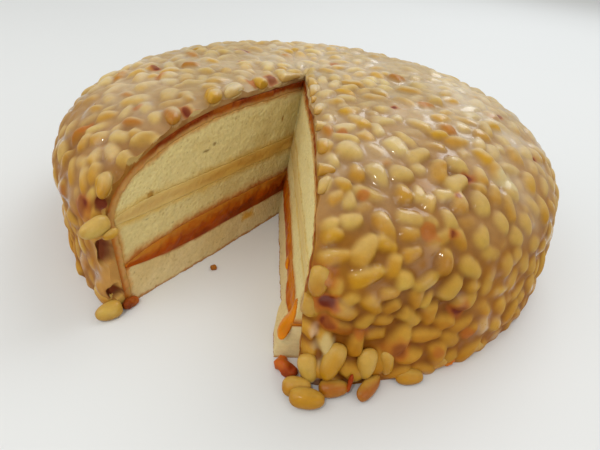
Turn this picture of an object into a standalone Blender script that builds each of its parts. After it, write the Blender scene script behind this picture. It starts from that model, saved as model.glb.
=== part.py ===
"""Pine nut cake, round and domed, with one slice cut out, standing on its flat base.

Three layers of sponge are filled with jam and with cream, coated all over with a thin skin of
jam, and covered with icing that is studded with pine nuts.
Metres, +Z up. The origin is the middle of the base, and the missing slice is on the -Y side.
"""

import math

import bmesh
import bpy
import numpy as np
from mathutils import Matrix, Vector

MM = 0.001

# The bare sponge: a cylinder whose flat top falls over a wide, elliptical shoulder.
SPONGE_RADIUS = 109.5 * MM
SPONGE_HEIGHT = 61.5 * MM
SHOULDER_START = 45.0 * MM  # radius at which the flat top begins to fall
SHOULDER_DROP = 25.5 * MM  # from the flat top down to the upright side

# How far each skin grows out of the sponge, as (sideways, upwards).
GAP = 0.3 * MM
COAT_GROWTH = (2.9 * MM, 3.7 * MM)  # outside of the jam coat
ICING_GROWTH = (5.7 * MM, 7.2 * MM)  # surface of the icing between the nuts
COAT_FOOT = 0.6 * MM  # the coat stops short of the plate

# Each side of the two fillings, which thin out towards the rim:
# height over the middle, height at the rim, and the radius out to which it lies flat.
JAM_BOTTOM = (12.8 * MM, 16.2 * MM, 74.0 * MM)
JAM_TOP = (22.4 * MM, 17.6 * MM, 74.0 * MM)
CREAM_BOTTOM = (34.4 * MM, 34.9 * MM, 94.0 * MM)
CREAM_TOP = (40.0 * MM, 37.2 * MM, 94.0 * MM)

# The missing slice: two flat knife cuts that meet in a leaning line, the apex.
APEX_TOP = (-5.5 * MM, 0.9 * MM)  # on the flat top of the sponge
APEX_FOOT = (-11.8 * MM, -16.6 * MM)  # on the base
LEFT_CUT = math.radians(236.3)
RIGHT_CUT = math.radians(276.4)
CUT_REACH = 220.0 * MM
CUT_OVERRUN = 20.0 * MM  # beyond the top and the base

# Pine nuts, half of each measure: length, width and height.
NUT_LENGTH = (5.6 * MM, 6.9 * MM)
NUT_WIDTH = (3.5 * MM, 4.2 * MM)
NUT_FLATNESS = 0.85  # height over width
NUT_TAPER = 0.24  # how much one end is slimmer than the other
NUT_HULL_RINGS = ((-0.7, 0.9), (0.45, 1.0))  # height and scale of the rings around a nut
NUT_RIDGE = 0.42  # half the length of the ridge on its back
NUT_SINK = 0.2  # share of its half height that the middle lies under the icing's surface
NUT_SPACING = 12.2 * MM
NUT_CLEAR_OF_CUT = 2.5 * MM
NUT_LOWEST = 4.5 * MM
NUT_TRIES = 9000
NUT_SEED = 11

# Nuts that slid down and lie at the foot, as angles around the cake.
FOOT_NUTS = [math.radians(a) for a in (232.0, 279.5, 286.5, 295.0, 306.0)]
FOOT_NUT_RADIUS = 115.8 * MM
FOOT_NUT_HEIGHT = 3.4 * MM

TURN_STEPS = 36
SHOULDER_STEPS = 5
RIM_STEPS = 2
NUT_SIDES = 6
TABLE_STEPS = 240
FLAT_ANGLE = math.radians(0.5)  # faces that meet at less than this count as one
SHARP_ANGLE = math.radians(35.0)

# Base colour, roughness.
SPONGE_FINISH = ((0.80, 0.66, 0.33), 0.9)
CREAM_FINISH = ((0.66, 0.44, 0.14), 0.55)
JAM_FINISH = ((0.34, 0.06, 0.01), 0.25)
ICING_FINISH = ((0.72, 0.50, 0.24), 0.35)


def dome(growth, steps, foot=0.0):
    """Points (radius, height) over a dome that has grown out of the sponge, from its axis to its foot."""
    across = SPONGE_RADIUS - SHOULDER_START + growth[0]
    drop = SHOULDER_DROP + growth[1]
    spring = SPONGE_HEIGHT - SHOULDER_DROP
    turns = np.linspace(0.0, math.pi / 2, steps + 1)
    shoulder = [(SHOULDER_START + across * math.sin(t), spring + drop * math.cos(t)) for t in turns]
    return [(0.0, spring + drop), *shoulder, (SHOULDER_START + across, foot)]


def side_radius(z):
    """Radius of the bare sponge at height z."""
    radius, height = np.array(dome((0.0, 0.0), SHOULDER_STEPS)[1:])[::-1].T
    return float(np.interp(z, height, radius))


def joint(middle_height, rim_height, flat_radius, lift=0.0):
    """Points (radius, height) over one side of a filling, from the axis to the rim."""
    rim = side_radius(rim_height + lift)
    shares = np.linspace(0.0, 1.0, RIM_STEPS + 1)
    radii = flat_radius + (rim - flat_radius) * shares
    heights = middle_height + (rim_height - middle_height) * shares**2 + lift
    return [(0.0, middle_height + lift), *zip(radii.tolist(), heights.tolist())]


def material(name, finish):
    made = bpy.data.materials.new(name)
    made.use_nodes = True
    shader = made.node_tree.nodes["Principled BSDF"]
    shader.inputs["Base Color"].default_value = (*finish[0], 1.0)
    shader.inputs["Roughness"].default_value = finish[1]
    return made


def add_object(name, mesh, collection):
    made = bpy.data.objects.new(name, mesh)
    collection.objects.link(made)
    return made


def turned(name, profile, collection, finish=None):
    """Turns a profile that runs down its outer side once around the Z axis."""
    mesh = bpy.data.meshes.new(name)
    edges = [(i, i + 1) for i in range(len(profile) - 1)]
    mesh.from_pydata([(r, 0.0, z) for r, z in profile], edges, [])
    made = add_object(name, mesh, collection)
    if finish:
        mesh.materials.append(finish)
    screw = made.modifiers.new("Turn", "SCREW")
    screw.steps = screw.render_steps = TURN_STEPS
    screw.use_merge_vertices = True
    screw.merge_threshold = 0.00001
    return made


def boolean(target, cutter, operation):
    made = target.modifiers.new(cutter.name, "BOOLEAN")
    made.operation = operation
    made.solver = "EXACT"
    if isinstance(cutter, bpy.types.Collection):
        made.operand_type = "COLLECTION"
        made.collection = cutter
    else:
        made.object = cutter
    return made


def as_cutter(obj):
    obj.hide_render = True
    obj.display_type = "WIRE"
    return obj


def apex_at(z):
    """The point (x, y) of the line where the two cuts meet, at height z."""
    share = z / SPONGE_HEIGHT
    return np.array(APEX_FOOT) + (np.array(APEX_TOP) - np.array(APEX_FOOT)) * share


def slice_cutter(collection):
    """The missing slice: the hull of two triangles, one under the base and one over the top."""
    bm = bmesh.new()
    for z in (-CUT_OVERRUN, SPONGE_HEIGHT + ICING_GROWTH[1] + CUT_OVERRUN):
        apex = apex_at(z)
        for reach, angle in ((0.0, 0.0), (CUT_REACH, LEFT_CUT), (CUT_REACH, RIGHT_CUT)):
            bm.verts.new((apex[0] + reach * math.cos(angle), apex[1] + reach * math.sin(angle), z))
    bmesh.ops.convex_hull(bm, input=bm.verts)
    bmesh.ops.recalc_face_normals(bm, faces=bm.faces)
    mesh = bpy.data.meshes.new("missing_slice")
    bm.to_mesh(mesh)
    bm.free()
    return as_cutter(add_object("missing_slice", mesh, collection))


def floor_cutter(collection):
    """A slab under the base, which trims what the nuts at the foot reach below it."""
    bm = bmesh.new()
    size = Matrix.Diagonal((2 * CUT_REACH, 2 * CUT_REACH, CUT_OVERRUN, 1.0))
    bmesh.ops.create_cube(bm, size=1.0, matrix=Matrix.Translation((0, 0, -CUT_OVERRUN / 2)) @ size)
    mesh = bpy.data.meshes.new("floor_slab")
    bm.to_mesh(mesh)
    bm.free()
    return as_cutter(add_object("floor_slab", mesh, collection))


def distance_to_cuts(points):
    """How far each point lies outside the missing slice, seen from above at its own height."""
    apex = np.array(APEX_FOOT) + np.outer(points[:, 2] / SPONGE_HEIGHT, np.subtract(APEX_TOP, APEX_FOOT))
    away = points[:, :2] - apex
    left = away @ np.array((math.sin(LEFT_CUT), -math.cos(LEFT_CUT)))
    right = away @ np.array((-math.sin(RIGHT_CUT), math.cos(RIGHT_CUT)))
    return np.maximum(left, right)


def icing_table():
    """Radius, height, slope and share of the area above, at even steps down the icing's surface."""
    corners = np.array(dome(ICING_GROWTH, TABLE_STEPS))
    lengths = np.append(0.0, np.cumsum(np.hypot(*np.diff(corners, axis=0).T)))
    steps = np.linspace(0.0, lengths[-1], TABLE_STEPS)
    radius = np.interp(steps, lengths, corners[:, 0])
    height = np.interp(steps, lengths, corners[:, 1])
    slope = np.stack([np.gradient(radius), np.gradient(height)], axis=1)
    slope /= np.linalg.norm(slope, axis=1, keepdims=True)
    area = np.append(0.0, np.cumsum((radius[1:] + radius[:-1]) / 2 * np.diff(steps)))
    return radius, height, slope, area / area[-1]


def place_nuts():
    """Nuts as (middle, outward normal, long direction, half sizes), thrown at random and kept apart."""
    draw = np.random.default_rng(NUT_SEED)
    radius, height, slope, area = icing_table()
    where = np.interp(draw.random(NUT_TRIES), area, np.arange(TABLE_STEPS))
    around = draw.random(NUT_TRIES) * math.tau
    heading = draw.random(NUT_TRIES) * math.tau
    size = draw.random(NUT_TRIES)
    rows = np.arange(TABLE_STEPS)
    r, z = np.interp(where, rows, radius), np.interp(where, rows, height)
    down = np.stack([np.interp(where, rows, slope[:, k]) for k in (0, 1)], axis=1)
    outward = np.stack([np.cos(around), np.sin(around), 0 * around], axis=1)
    sideways = np.stack([-np.sin(around), np.cos(around), 0 * around], axis=1)
    upward = np.array((0.0, 0.0, 1.0))
    middle = outward * r[:, None] + upward * z[:, None]
    downhill = outward * down[:, :1] + upward * down[:, 1:]
    normal = outward * -down[:, 1:] + upward * down[:, :1]
    long_way = downhill * np.cos(heading)[:, None] + sideways * np.sin(heading)[:, None]
    allowed = (distance_to_cuts(middle) > NUT_CLEAR_OF_CUT) & (z > NUT_LOWEST)
    kept = []
    for i in np.flatnonzero(allowed):
        near = np.linalg.norm(middle[kept] - middle[i], axis=1) if kept else np.array([1.0])
        if near.min() > NUT_SPACING:
            kept.append(i)
    nuts = []
    for i in kept:
        length = NUT_LENGTH[0] + (NUT_LENGTH[1] - NUT_LENGTH[0]) * size[i]
        width = NUT_WIDTH[0] + (NUT_WIDTH[1] - NUT_WIDTH[0]) * size[i]
        tall = width * NUT_FLATNESS
        nuts.append((middle[i] - normal[i] * tall * NUT_SINK, normal[i], long_way[i], (width, tall, length)))
    return nuts


def place_foot_nuts():
    """The nuts that lie on their flat side around the foot."""
    nuts = []
    for angle in FOOT_NUTS:
        outward = np.array((math.cos(angle), math.sin(angle), 0.0))
        sideways = np.array((-math.sin(angle), math.cos(angle), 0.0))
        middle = outward * FOOT_NUT_RADIUS + np.array((0.0, 0.0, FOOT_NUT_HEIGHT))
        width = NUT_WIDTH[1]
        nuts.append((middle, outward, sideways, (width * NUT_FLATNESS, width, NUT_LENGTH[1])))
    return nuts


def nut_mesh():
    """A pine nut of half size one, lying along Z with Y up: the hull of two rings and a short ridge."""
    bm = bmesh.new()
    for height, scale in NUT_HULL_RINGS:
        for turn in np.linspace(0.0, math.tau, NUT_SIDES, endpoint=False):
            along = math.cos(turn)
            across = math.sin(turn) * (1 - NUT_TAPER * along)
            bm.verts.new((across * scale, height, along * scale))
    for along in (-NUT_RIDGE, NUT_RIDGE):
        bm.verts.new((0.0, 1.0, along))
    bmesh.ops.convex_hull(bm, input=bm.verts)
    bmesh.ops.dissolve_limit(bm, angle_limit=FLAT_ANGLE, verts=bm.verts, edges=bm.edges)
    bmesh.ops.recalc_face_normals(bm, faces=bm.faces)
    mesh = bpy.data.meshes.new("nut")
    bm.to_mesh(mesh)
    bm.free()
    return mesh


def add_nuts(collection):
    mesh = nut_mesh()
    for i, (middle, normal, long_way, half) in enumerate(place_nuts() + place_foot_nuts()):
        across = np.cross(normal, long_way)
        turn = Matrix(np.stack([across, normal, long_way], axis=1)).to_4x4()
        nut = add_object(f"nut_{i}", mesh, collection)
        nut.matrix_world = Matrix.Translation(Vector(middle)) @ turn @ Matrix.Diagonal((*half, 1.0))


def nut_icing(collection, cutters, finish, slice_out):
    """Icing with the nuts fused on, hollowed to fit over the jam coat."""
    nuts = bpy.data.collections.new("nuts")
    bpy.context.scene.collection.children.link(nuts)
    add_nuts(nuts)
    shell = turned("nut_icing", [*dome(ICING_GROWTH, SHOULDER_STEPS), (0.0, 0.0)], collection, finish)
    flat = shell.modifiers.new("Flat top in one face", "DECIMATE")
    flat.decimate_type = "DISSOLVE"
    flat.angle_limit = FLAT_ANGLE
    hollow_growth = [grown + GAP for grown in COAT_GROWTH]
    hollow_top = dome(hollow_growth, SHOULDER_STEPS, -CUT_OVERRUN)
    hollow = as_cutter(turned("icing_hollow", [*hollow_top, (0.0, -CUT_OVERRUN)], cutters))
    boolean(shell, nuts, "UNION")
    boolean(shell, hollow, "DIFFERENCE")
    boolean(shell, slice_out, "DIFFERENCE")
    boolean(shell, floor_cutter(cutters), "DIFFERENCE")
    graph = bpy.context.evaluated_depsgraph_get()
    fused = bpy.data.meshes.new_from_object(shell.evaluated_get(graph))
    fused.shade_smooth()
    fused.set_sharp_from_angle(angle=SHARP_ANGLE)
    shell.modifiers.clear()
    shell.data = fused
    for nut in list(nuts.objects):
        bpy.data.objects.remove(nut)
    bpy.data.collections.remove(nuts)
    return shell


def main():
    for obj in list(bpy.data.objects):
        bpy.data.objects.remove(obj)
    cake = bpy.data.collections.new("pine_nut_cake")
    cutters = bpy.data.collections.new("cutters")
    for collection in (cake, cutters):
        bpy.context.scene.collection.children.link(collection)
    slice_out = slice_cutter(cutters)

    sponge = material("sponge", SPONGE_FINISH)
    cream = material("cream", CREAM_FINISH)
    jam = material("jam", JAM_FINISH)
    icing = material("icing", ICING_FINISH)

    def layer(name, top, bottom, finish):
        boolean(turned(name, [*top, *reversed(bottom)], cake, finish), slice_out, "DIFFERENCE")

    base = [(0.0, 0.0), (SPONGE_RADIUS, 0.0)]
    crown = [point for point in dome((0.0, 0.0), SHOULDER_STEPS) if point[1] > CREAM_TOP[1] + GAP]
    layer("sponge_bottom", joint(*JAM_BOTTOM), base, sponge)
    layer("jam_filling", joint(*JAM_TOP, -GAP), joint(*JAM_BOTTOM, GAP), jam)
    layer("sponge_middle", joint(*CREAM_BOTTOM), joint(*JAM_TOP), sponge)
    layer("cream_filling", joint(*CREAM_TOP), joint(*CREAM_BOTTOM, GAP), cream)
    layer("sponge_top", crown, joint(*CREAM_TOP, GAP), sponge)
    coat_inside = dome((GAP, GAP), SHOULDER_STEPS, COAT_FOOT)
    layer("jam_coat", dome(COAT_GROWTH, SHOULDER_STEPS, COAT_FOOT), coat_inside, jam)
    nut_icing(cake, cutters, icing, slice_out)


main()
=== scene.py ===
# %% [markdown]
# # A pine nut cake with a slice cut out
# The real thing is a home-made layer cake, about 236 mm across: three layers of pale sponge, filled
# with jam and with butter cream, painted all over with jam, and covered in a poured icing full of
# pine nuts. The solids of the cake are already made and measured. This lesson dresses them: every
# solid gets a finer surface that keeps its form, and a finish that looks good enough to eat.

# %% Load the solids
import math

import bpy
import numpy as np
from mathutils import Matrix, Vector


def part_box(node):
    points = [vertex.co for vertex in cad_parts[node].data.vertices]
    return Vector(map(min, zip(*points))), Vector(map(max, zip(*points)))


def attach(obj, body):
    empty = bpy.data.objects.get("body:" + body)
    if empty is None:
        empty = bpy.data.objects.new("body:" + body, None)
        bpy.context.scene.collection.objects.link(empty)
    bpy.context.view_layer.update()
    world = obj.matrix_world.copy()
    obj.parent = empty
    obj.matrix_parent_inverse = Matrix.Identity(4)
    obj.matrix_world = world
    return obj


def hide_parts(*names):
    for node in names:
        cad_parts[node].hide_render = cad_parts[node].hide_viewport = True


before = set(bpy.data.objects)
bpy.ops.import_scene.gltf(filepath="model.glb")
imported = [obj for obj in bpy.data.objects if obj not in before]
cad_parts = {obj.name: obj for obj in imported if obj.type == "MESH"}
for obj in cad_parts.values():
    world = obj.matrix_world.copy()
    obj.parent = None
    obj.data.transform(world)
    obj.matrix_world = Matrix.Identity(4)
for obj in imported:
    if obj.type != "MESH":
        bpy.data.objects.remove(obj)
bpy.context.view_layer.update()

print("solids to dress:", sorted(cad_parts))

# %% [markdown]
# ## Measures
# Everything below is worked out in millimetres, because a cake is measured in them, and is turned
# into metres only when a mesh is made. Heights and radii come from the solids themselves. The two
# knife cuts are not upright: they meet in a line that leans, so its foot lies further from the
# middle than its top.

# %% Measures, in millimetres
MM = 0.001


def corners(node):
    """Lowest and highest corner of a solid, in millimetres."""
    return np.array(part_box(node)) / MM


SPONGE_RADIUS = corners("sponge_bottom")[1, 0]
SPONGE_HEIGHT = corners("sponge_top")[1, 2]
SHOULDER_START = 45.0  # radius of the flat top
SHOULDER_DROP = 25.5
SPRING = SPONGE_HEIGHT - SHOULDER_DROP  # height at which the upright side ends
THIN_GAP = 0.04  # the dressed pieces nearly touch
COAT_GROWTH = (corners("jam_coat")[1, 0] - SPONGE_RADIUS, corners("jam_coat")[1, 2] - SPONGE_HEIGHT)
ICING_GROWTH = (5.7, 7.2)  # how far plain icing lies outside the sponge, sideways and upwards
ICING_ACROSS = SPONGE_RADIUS - SHOULDER_START + ICING_GROWTH[0]
ICING_DROP = SHOULDER_DROP + ICING_GROWTH[1]
COAT_FOOT = corners("jam_coat")[0, 2]

# each side of a filling: its height in the middle, its height at the rim, and where it starts to bend
JAM_BOTTOM = (12.8, 16.2, 74.0)
JAM_TOP = (22.4, 17.6, 74.0)
CREAM_BOTTOM = (34.4, 34.9, 94.0)
CREAM_TOP = (40.0, 37.2, 94.0)

# where the two cuts meet, on top and at the foot, and the headings in which they run outwards
APEX_TOP = np.array((-5.5, 0.9))
APEX_FOOT = np.array((-11.8, -16.6))
LEFT_CUT = math.radians(236.3)
RIGHT_CUT = math.radians(276.4)
print("sponge radius and height:", SPONGE_RADIUS, SPONGE_HEIGHT)

# %% [markdown]
# ## Camera, floor and light
# The camera is close: 210 mm in front of the cake's middle and about 50 mm higher than its top. It
# looks down on the cake, tipped a little to one side. Its place was solved from the cake's outline.
# The light is that of a bright room. A large soft lamp stands high behind the cake on the right, as a
# window, and two weaker ones stand in front, on the left and, lower, on the right. A small one near
# the ceiling gives the sharp glints on wet icing, and a pale world fills the shadows from all round.

# %% Camera, floor and light
CAMERA_PLACE = (0.0, -209.8, 125.6)
CAMERA_DOWN = math.radians(34.3)
CAMERA_ROLL = math.radians(6.03)
CAMERA_LENS = 26.04
CAMERA_NEAREST = 10.0  # nothing closer than this is drawn


def camera_axes():
    """Forward dips below +Y, and right and up are then turned by the roll."""
    forward = np.array((0.0, math.cos(CAMERA_DOWN), -math.sin(CAMERA_DOWN)))
    level = np.array((1.0, 0.0, 0.0))
    upright = np.cross(level, forward)
    right = math.cos(CAMERA_ROLL) * level + math.sin(CAMERA_ROLL) * upright
    up = math.cos(CAMERA_ROLL) * upright - math.sin(CAMERA_ROLL) * level
    return forward, right, up


def placed(side, up, back, place):
    """The matrix of an object with these three axes, at a place in millimetres."""
    matrix = np.eye(4)
    matrix[:3, 0], matrix[:3, 1], matrix[:3, 2] = side, up, back
    matrix[:3, 3] = np.array(place) * MM
    return matrix.T.tolist()


def make_camera():
    """Makes the camera that looks along its forward axis, and gives the view to it."""
    data = bpy.data.cameras.new("camera")
    data.lens = CAMERA_LENS
    data.clip_start = CAMERA_NEAREST * MM
    camera = bpy.data.objects.new("camera", data)
    bpy.context.scene.collection.objects.link(camera)
    forward, right, up = camera_axes()
    camera.matrix_world = placed(right, up, -forward, CAMERA_PLACE)
    bpy.context.scene.camera = camera


def lamp(name, place, size, power, tint):
    """A square soft lamp that faces the middle of the cake."""
    data = bpy.data.lights.new(name, "AREA")
    data.size = size * MM
    data.energy = power
    data.color = tint
    made = bpy.data.objects.new(name, data)
    bpy.context.scene.collection.objects.link(made)
    away = np.array(place) / np.linalg.norm(place)
    side = np.cross((0.0, 0.0, 1.0), away)
    side /= np.linalg.norm(side)
    made.matrix_world = placed(side, np.cross(away, side), away, place)


def pale_world(tint, strength):
    """Light of one colour from all round."""
    world = bpy.data.worlds.new("pale room")
    world.use_nodes = True
    background = world.node_tree.nodes["Background"]
    background.inputs["Color"].default_value = (*tint, 1.0)
    background.inputs["Strength"].default_value = strength
    bpy.context.scene.world = world


COOL_LIGHT = (0.94, 0.97, 1.0)
WARM_LIGHT = (1.0, 0.97, 0.92)
make_camera()
lamp("window", (500.0, 800.0, 1100.0), 1000.0, 8.0, COOL_LIGHT)
lamp("room", (-900.0, -500.0, 900.0), 900.0, 3.6, WARM_LIGHT)
lamp("front", (900.0, -1000.0, 520.0), 900.0, 2.3, WARM_LIGHT)
lamp("ceiling spot", (-260.0, -620.0, 1000.0), 80.0, 2.4, WARM_LIGHT)
pale_world((1.0, 0.985, 0.94), 0.60)
bpy.context.scene.view_settings.view_transform = "Standard"
print("camera, four lamps and a pale world")

# %% [markdown]
# ## Chance that repeats
# Food is uneven everywhere, so most shapes below are stirred by noise. It is worked out for whole
# arrays of points at once: every corner of a grid of cubes gets a random number, and a point
# reads the eight corners of its cube, blended smoothly. The numbers come from the corner's own
# coordinates, so the cake comes out the same each time.

# %% Noise
def scramble(cells, seed):
    """A number from 0 to 1 for each integer cell, by multiplying, adding and folding its bits."""
    mixed = np.full(cells.shape[:-1], seed * 2654435761 % 2**32, dtype=np.uint64)
    for k in range(cells.shape[-1]):
        mixed = (mixed ^ (cells[..., k].astype(np.int64) & 0xFFFFFFFF).astype(np.uint64)) * 0x9E3779B1
        mixed &= 0xFFFFFFFF
        mixed ^= mixed >> np.uint64(15)
    mixed = mixed * 0x85EBCA6B & 0xFFFFFFFF
    mixed ^= mixed >> np.uint64(13)
    return mixed.astype(np.float64) / 2**32


def noise(points, size, seed):
    """Smooth noise from -1 to 1 whose lumps are about size across."""
    scaled = np.asarray(points, dtype=np.float64) / size
    cell = np.floor(scaled)
    part = scaled - cell
    part = part * part * (3 - 2 * part)
    total = np.zeros(scaled.shape[:-1])
    dims = scaled.shape[-1]
    for corner in range(2**dims):
        step = np.array([(corner >> k) & 1 for k in range(dims)])
        weight = np.prod(np.where(step, part, 1 - part), axis=-1)
        total += weight * scramble(cell + step, seed)
    return 2 * total - 1


def rough_noise(points, size, seed, octaves=3):
    """Noise on noise: each octave is half as large and half as strong as the one before."""
    total = np.zeros(np.shape(points)[:-1])
    for k in range(octaves):
        total += noise(points, size / 2**k, seed + k) / 2**k
    return total / 1.6


def ridges(points, size, seed):
    """Sharp crests from -1 to 1 along the lines where smooth noise is zero."""
    return 1 - 3 * np.abs(noise(points, size, seed))


def nearest_spot(points, size, seed):
    """Distance from each flat point to the nearest of one random spot in each square, in squares."""
    scaled = np.asarray(points, dtype=np.float64) / size
    cell = np.floor(scaled)
    best = np.full(scaled.shape[:-1], 9.0)
    for dx in (-1, 0, 1):
        for dy in (-1, 0, 1):
            near = cell + np.array((dx, dy))
            spot = near + np.stack([scramble(near, seed), scramble(near, seed + 1)], axis=-1)
            best = np.minimum(best, np.linalg.norm(scaled - spot, axis=-1))
    return best


def ramp(value, low, high):
    """0 below low, 1 above high, and a smooth step between."""
    share = np.clip((value - low) / (high - low), 0.0, 1.0)
    return share * share * (3 - 2 * share)


def blend(first, second, share):
    """Mixes two colours, or arrays of them, by a share from 0 to 1."""
    share = np.asarray(share)[..., None]
    return np.asarray(first) * (1 - share) + np.asarray(second) * share


def colour(red, green, blue):
    """A colour as it looks on a screen, from 0 to 255, turned into the light that it gives off."""
    screen = np.array((red, green, blue)) / 255
    return np.where(screen <= 0.04045, screen / 12.92, ((screen + 0.055) / 1.055) ** 2.4)


print("noise at the origin:", round(float(noise(np.zeros((1, 3)), 1.0, 1)[0]), 3))

# %% [markdown]
# ## Solids with a slice out
# A turned cake with a slice out is awkward for a plain turned surface, because the cuts don't run
# through the axis. So each surface is made of rings and of rays. A ring keeps its own height, and
# its middle moves from the apex, where the cuts meet, out to the cake's axis as it grows. A ray
# leaves the apex at an angle and meets every ring, so the first and the last ray lie in the cuts.

# %% Rings and rays
RING_SETTLES = 40.0  # a ring of this radius has its middle on the axis
FOOT_BULGE = 3.4  # how far the lowest sponge swells out of the right cut


def apex_at(height):
    """The point (x, y) where the two cuts meet, at each height: a straight line."""
    share = np.asarray(height)[..., None] / SPONGE_HEIGHT
    return APEX_FOOT + (APEX_TOP - APEX_FOOT) * share


def on_rays(radius, height, angles):
    """Where rays at these angles meet rings of these radii: the far root of the circle's equation."""
    radius, height, angles = np.broadcast_arrays(radius, height, angles)
    apex = apex_at(height)
    offset = apex * np.clip(radius / RING_SETTLES, 0.0, 1.0)[..., None]
    along = np.stack([np.cos(angles), np.sin(angles)], axis=-1)
    lean = (offset * along).sum(-1)
    reach = np.sqrt(np.maximum(lean**2 + radius**2 - (offset**2).sum(-1), 0.0)) - lean
    plan = apex + along * reach[..., None]
    return np.concatenate([plan, height[..., None]], axis=-1)


def into_slice(cut, sign):
    """The level direction that points from a cut face into the missing slice."""
    return np.array((-math.sin(cut), math.cos(cut), 0.0)) * sign


LEFT_OUT = into_slice(LEFT_CUT, 1)
RIGHT_OUT = into_slice(RIGHT_CUT, -1)
FACES = {"right": RIGHT_OUT, "left": LEFT_OUT}


def face_place(points, name):
    """Flat coordinates on a cut face: the way out from the apex line, and the height."""
    cut = RIGHT_CUT if name == "right" else LEFT_CUT
    along = (points[..., :2] - apex_at(points[..., 2])) @ np.array((math.cos(cut), math.sin(cut)))
    return np.stack([along, points[..., 2]], axis=-1)


def cut_wobble(along, height, face, bulge=FOOT_BULGE):
    """How far the knife strayed outwards, the same for all layers, with a bulge at the right foot."""
    place = np.stack([along, height], axis=-1)
    stray = 0.45 * noise(place, 30.0, 81) + 0.25 * noise(place, 11.0, 82) + 0.12 * noise(place, 4.0, 83)
    if face == "right":
        swollen = ramp(along, 68.0, 84.0) * (1 - ramp(along, 98.0, 108.0))
        stray = stray + bulge * swollen * (1 - ramp(height, 7.0, 19.0))
    return stray


def behind_cut(points, out):
    """How far points lie behind a cut's plane, measured level."""
    away = points[..., :2] - apex_at(points[..., 2])
    return -(away @ out[:2])


class Dome:
    """The dome's outline in rows: a flat top, an elliptical shoulder and an upright side."""

    def __init__(self, spacing, samples=600):
        part = np.repeat((0.0, 1.0, 2.0), samples)
        where = np.tile(np.linspace(0.0, 1.0, samples), 3)
        flat, turn, side = self.split(part + where * 0.999999)
        r = SHOULDER_START * flat + ICING_ACROSS * np.sin(turn)
        z = (SPRING + ICING_DROP * np.cos(turn)) * (1 - side)
        length = np.append(0.0, np.cumsum(np.hypot(np.diff(r), np.diff(z))))
        self.length = length[-1]
        self.count = int(round(self.length / spacing)) + 1
        rows = np.interp(np.linspace(0, self.length, self.count), length, part + where)
        self.flat, self.turn, self.side = self.split(rows)

    @staticmethod
    def split(rows):
        """Shares of the flat top, the shoulder's turn and the side, from one running number."""
        return np.clip(rows, 0, 1), np.clip(rows - 1, 0, 1) * math.pi / 2, np.clip(rows - 2, 0, 1)

    def points(self, growth, angles, lift=0.0, foot=0.0):
        """Points of the dome grown by (sideways, upwards), and lifted along its own normal."""
        across = SPONGE_RADIUS - SHOULDER_START + growth[0]
        drop = SHOULDER_DROP + growth[1]
        out, up = np.sin(self.turn) / across, np.cos(self.turn) / drop
        size = np.hypot(out, up)
        radius = SHOULDER_START * self.flat + across * np.sin(self.turn)
        height = foot + (SPRING - foot + drop * np.cos(self.turn)) * (1 - self.side)
        radius = radius[:, None] + lift * (out / size)[:, None]
        height = height[:, None] + lift * (up / size)[:, None]
        return on_rays(radius, height, np.asarray(angles)[None, :])


print("left cut looks to", LEFT_OUT.round(2), "and right cut to", RIGHT_OUT.round(2))

# %% [markdown]
# ## From grids to a closed mesh
# Every piece lies between a low and a high surface, which share their rays. Its closed skin is five
# grids: both surfaces, the wall on each cut, and the rim. Corners that fall together are merged.

# %% Closed pieces
class Skin:
    """Named grids of points, merged into one closed mesh whose grids can still be reached."""

    def __init__(self, grids, extra=()):
        self.shape = {name: grid.shape[:2] for name, grid in grids.items()}
        flat = np.concatenate([grid.reshape(-1, 3) for grid in grids.values()])
        keys = np.round(flat * 10000).astype(np.int64)
        _, first, index = np.unique(keys, axis=0, return_index=True, return_inverse=True)
        index = index.reshape(-1)
        self.points = flat[first]
        self.index = {}
        start = 0
        for name, (rows, cols) in self.shape.items():
            self.index[name] = index[start:start + rows * cols].reshape(rows, cols)
            start += rows * cols
        self.faces = [self.quads(grid) for grid in self.index.values()]
        self.faces += [make(self.index) for make in extra]
        self.colour = np.ones((len(self.points), 3))
        self.shine = np.zeros(len(self.points))

    @staticmethod
    def quads(grid):
        """Four corners for each cell of a grid, in the order that makes the face look outwards."""
        around = (grid[:-1, :-1], grid[1:, :-1], grid[1:, 1:], grid[:-1, 1:])
        return np.stack(around, axis=-1).reshape(-1, 4)

    def mesh_faces(self):
        """Faces with their doubled corners dropped, and what is left of no area left out."""
        made = []
        for block in self.faces:
            same = block == np.roll(block, -1, axis=1)
            whole = ~same.any(axis=1)
            made += block[whole].tolist()
            if block.shape[1] == 4:
                once = same.sum(axis=1) == 1
                kept = block[once][~same[once]].reshape(-1, 3)
                made += kept.tolist()
        return made


def between(low, high, steps):
    """The five grids of the solid between two surfaces of rows (outwards) by columns (around)."""
    share = np.linspace(0.0, 1.0, steps + 1)
    right = low[:, :1] + (high[:, :1] - low[:, :1]) * share[None, :, None]
    left = low[:, -1:] + (high[:, -1:] - low[:, -1:]) * share[None, :, None]
    rim = low[-1][:, None] + (high[-1] - low[-1])[:, None] * share[None, :, None]
    return {"high": high, "low": low[:, ::-1], "right": right, "left": left[:, ::-1], "rim": rim}


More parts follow.
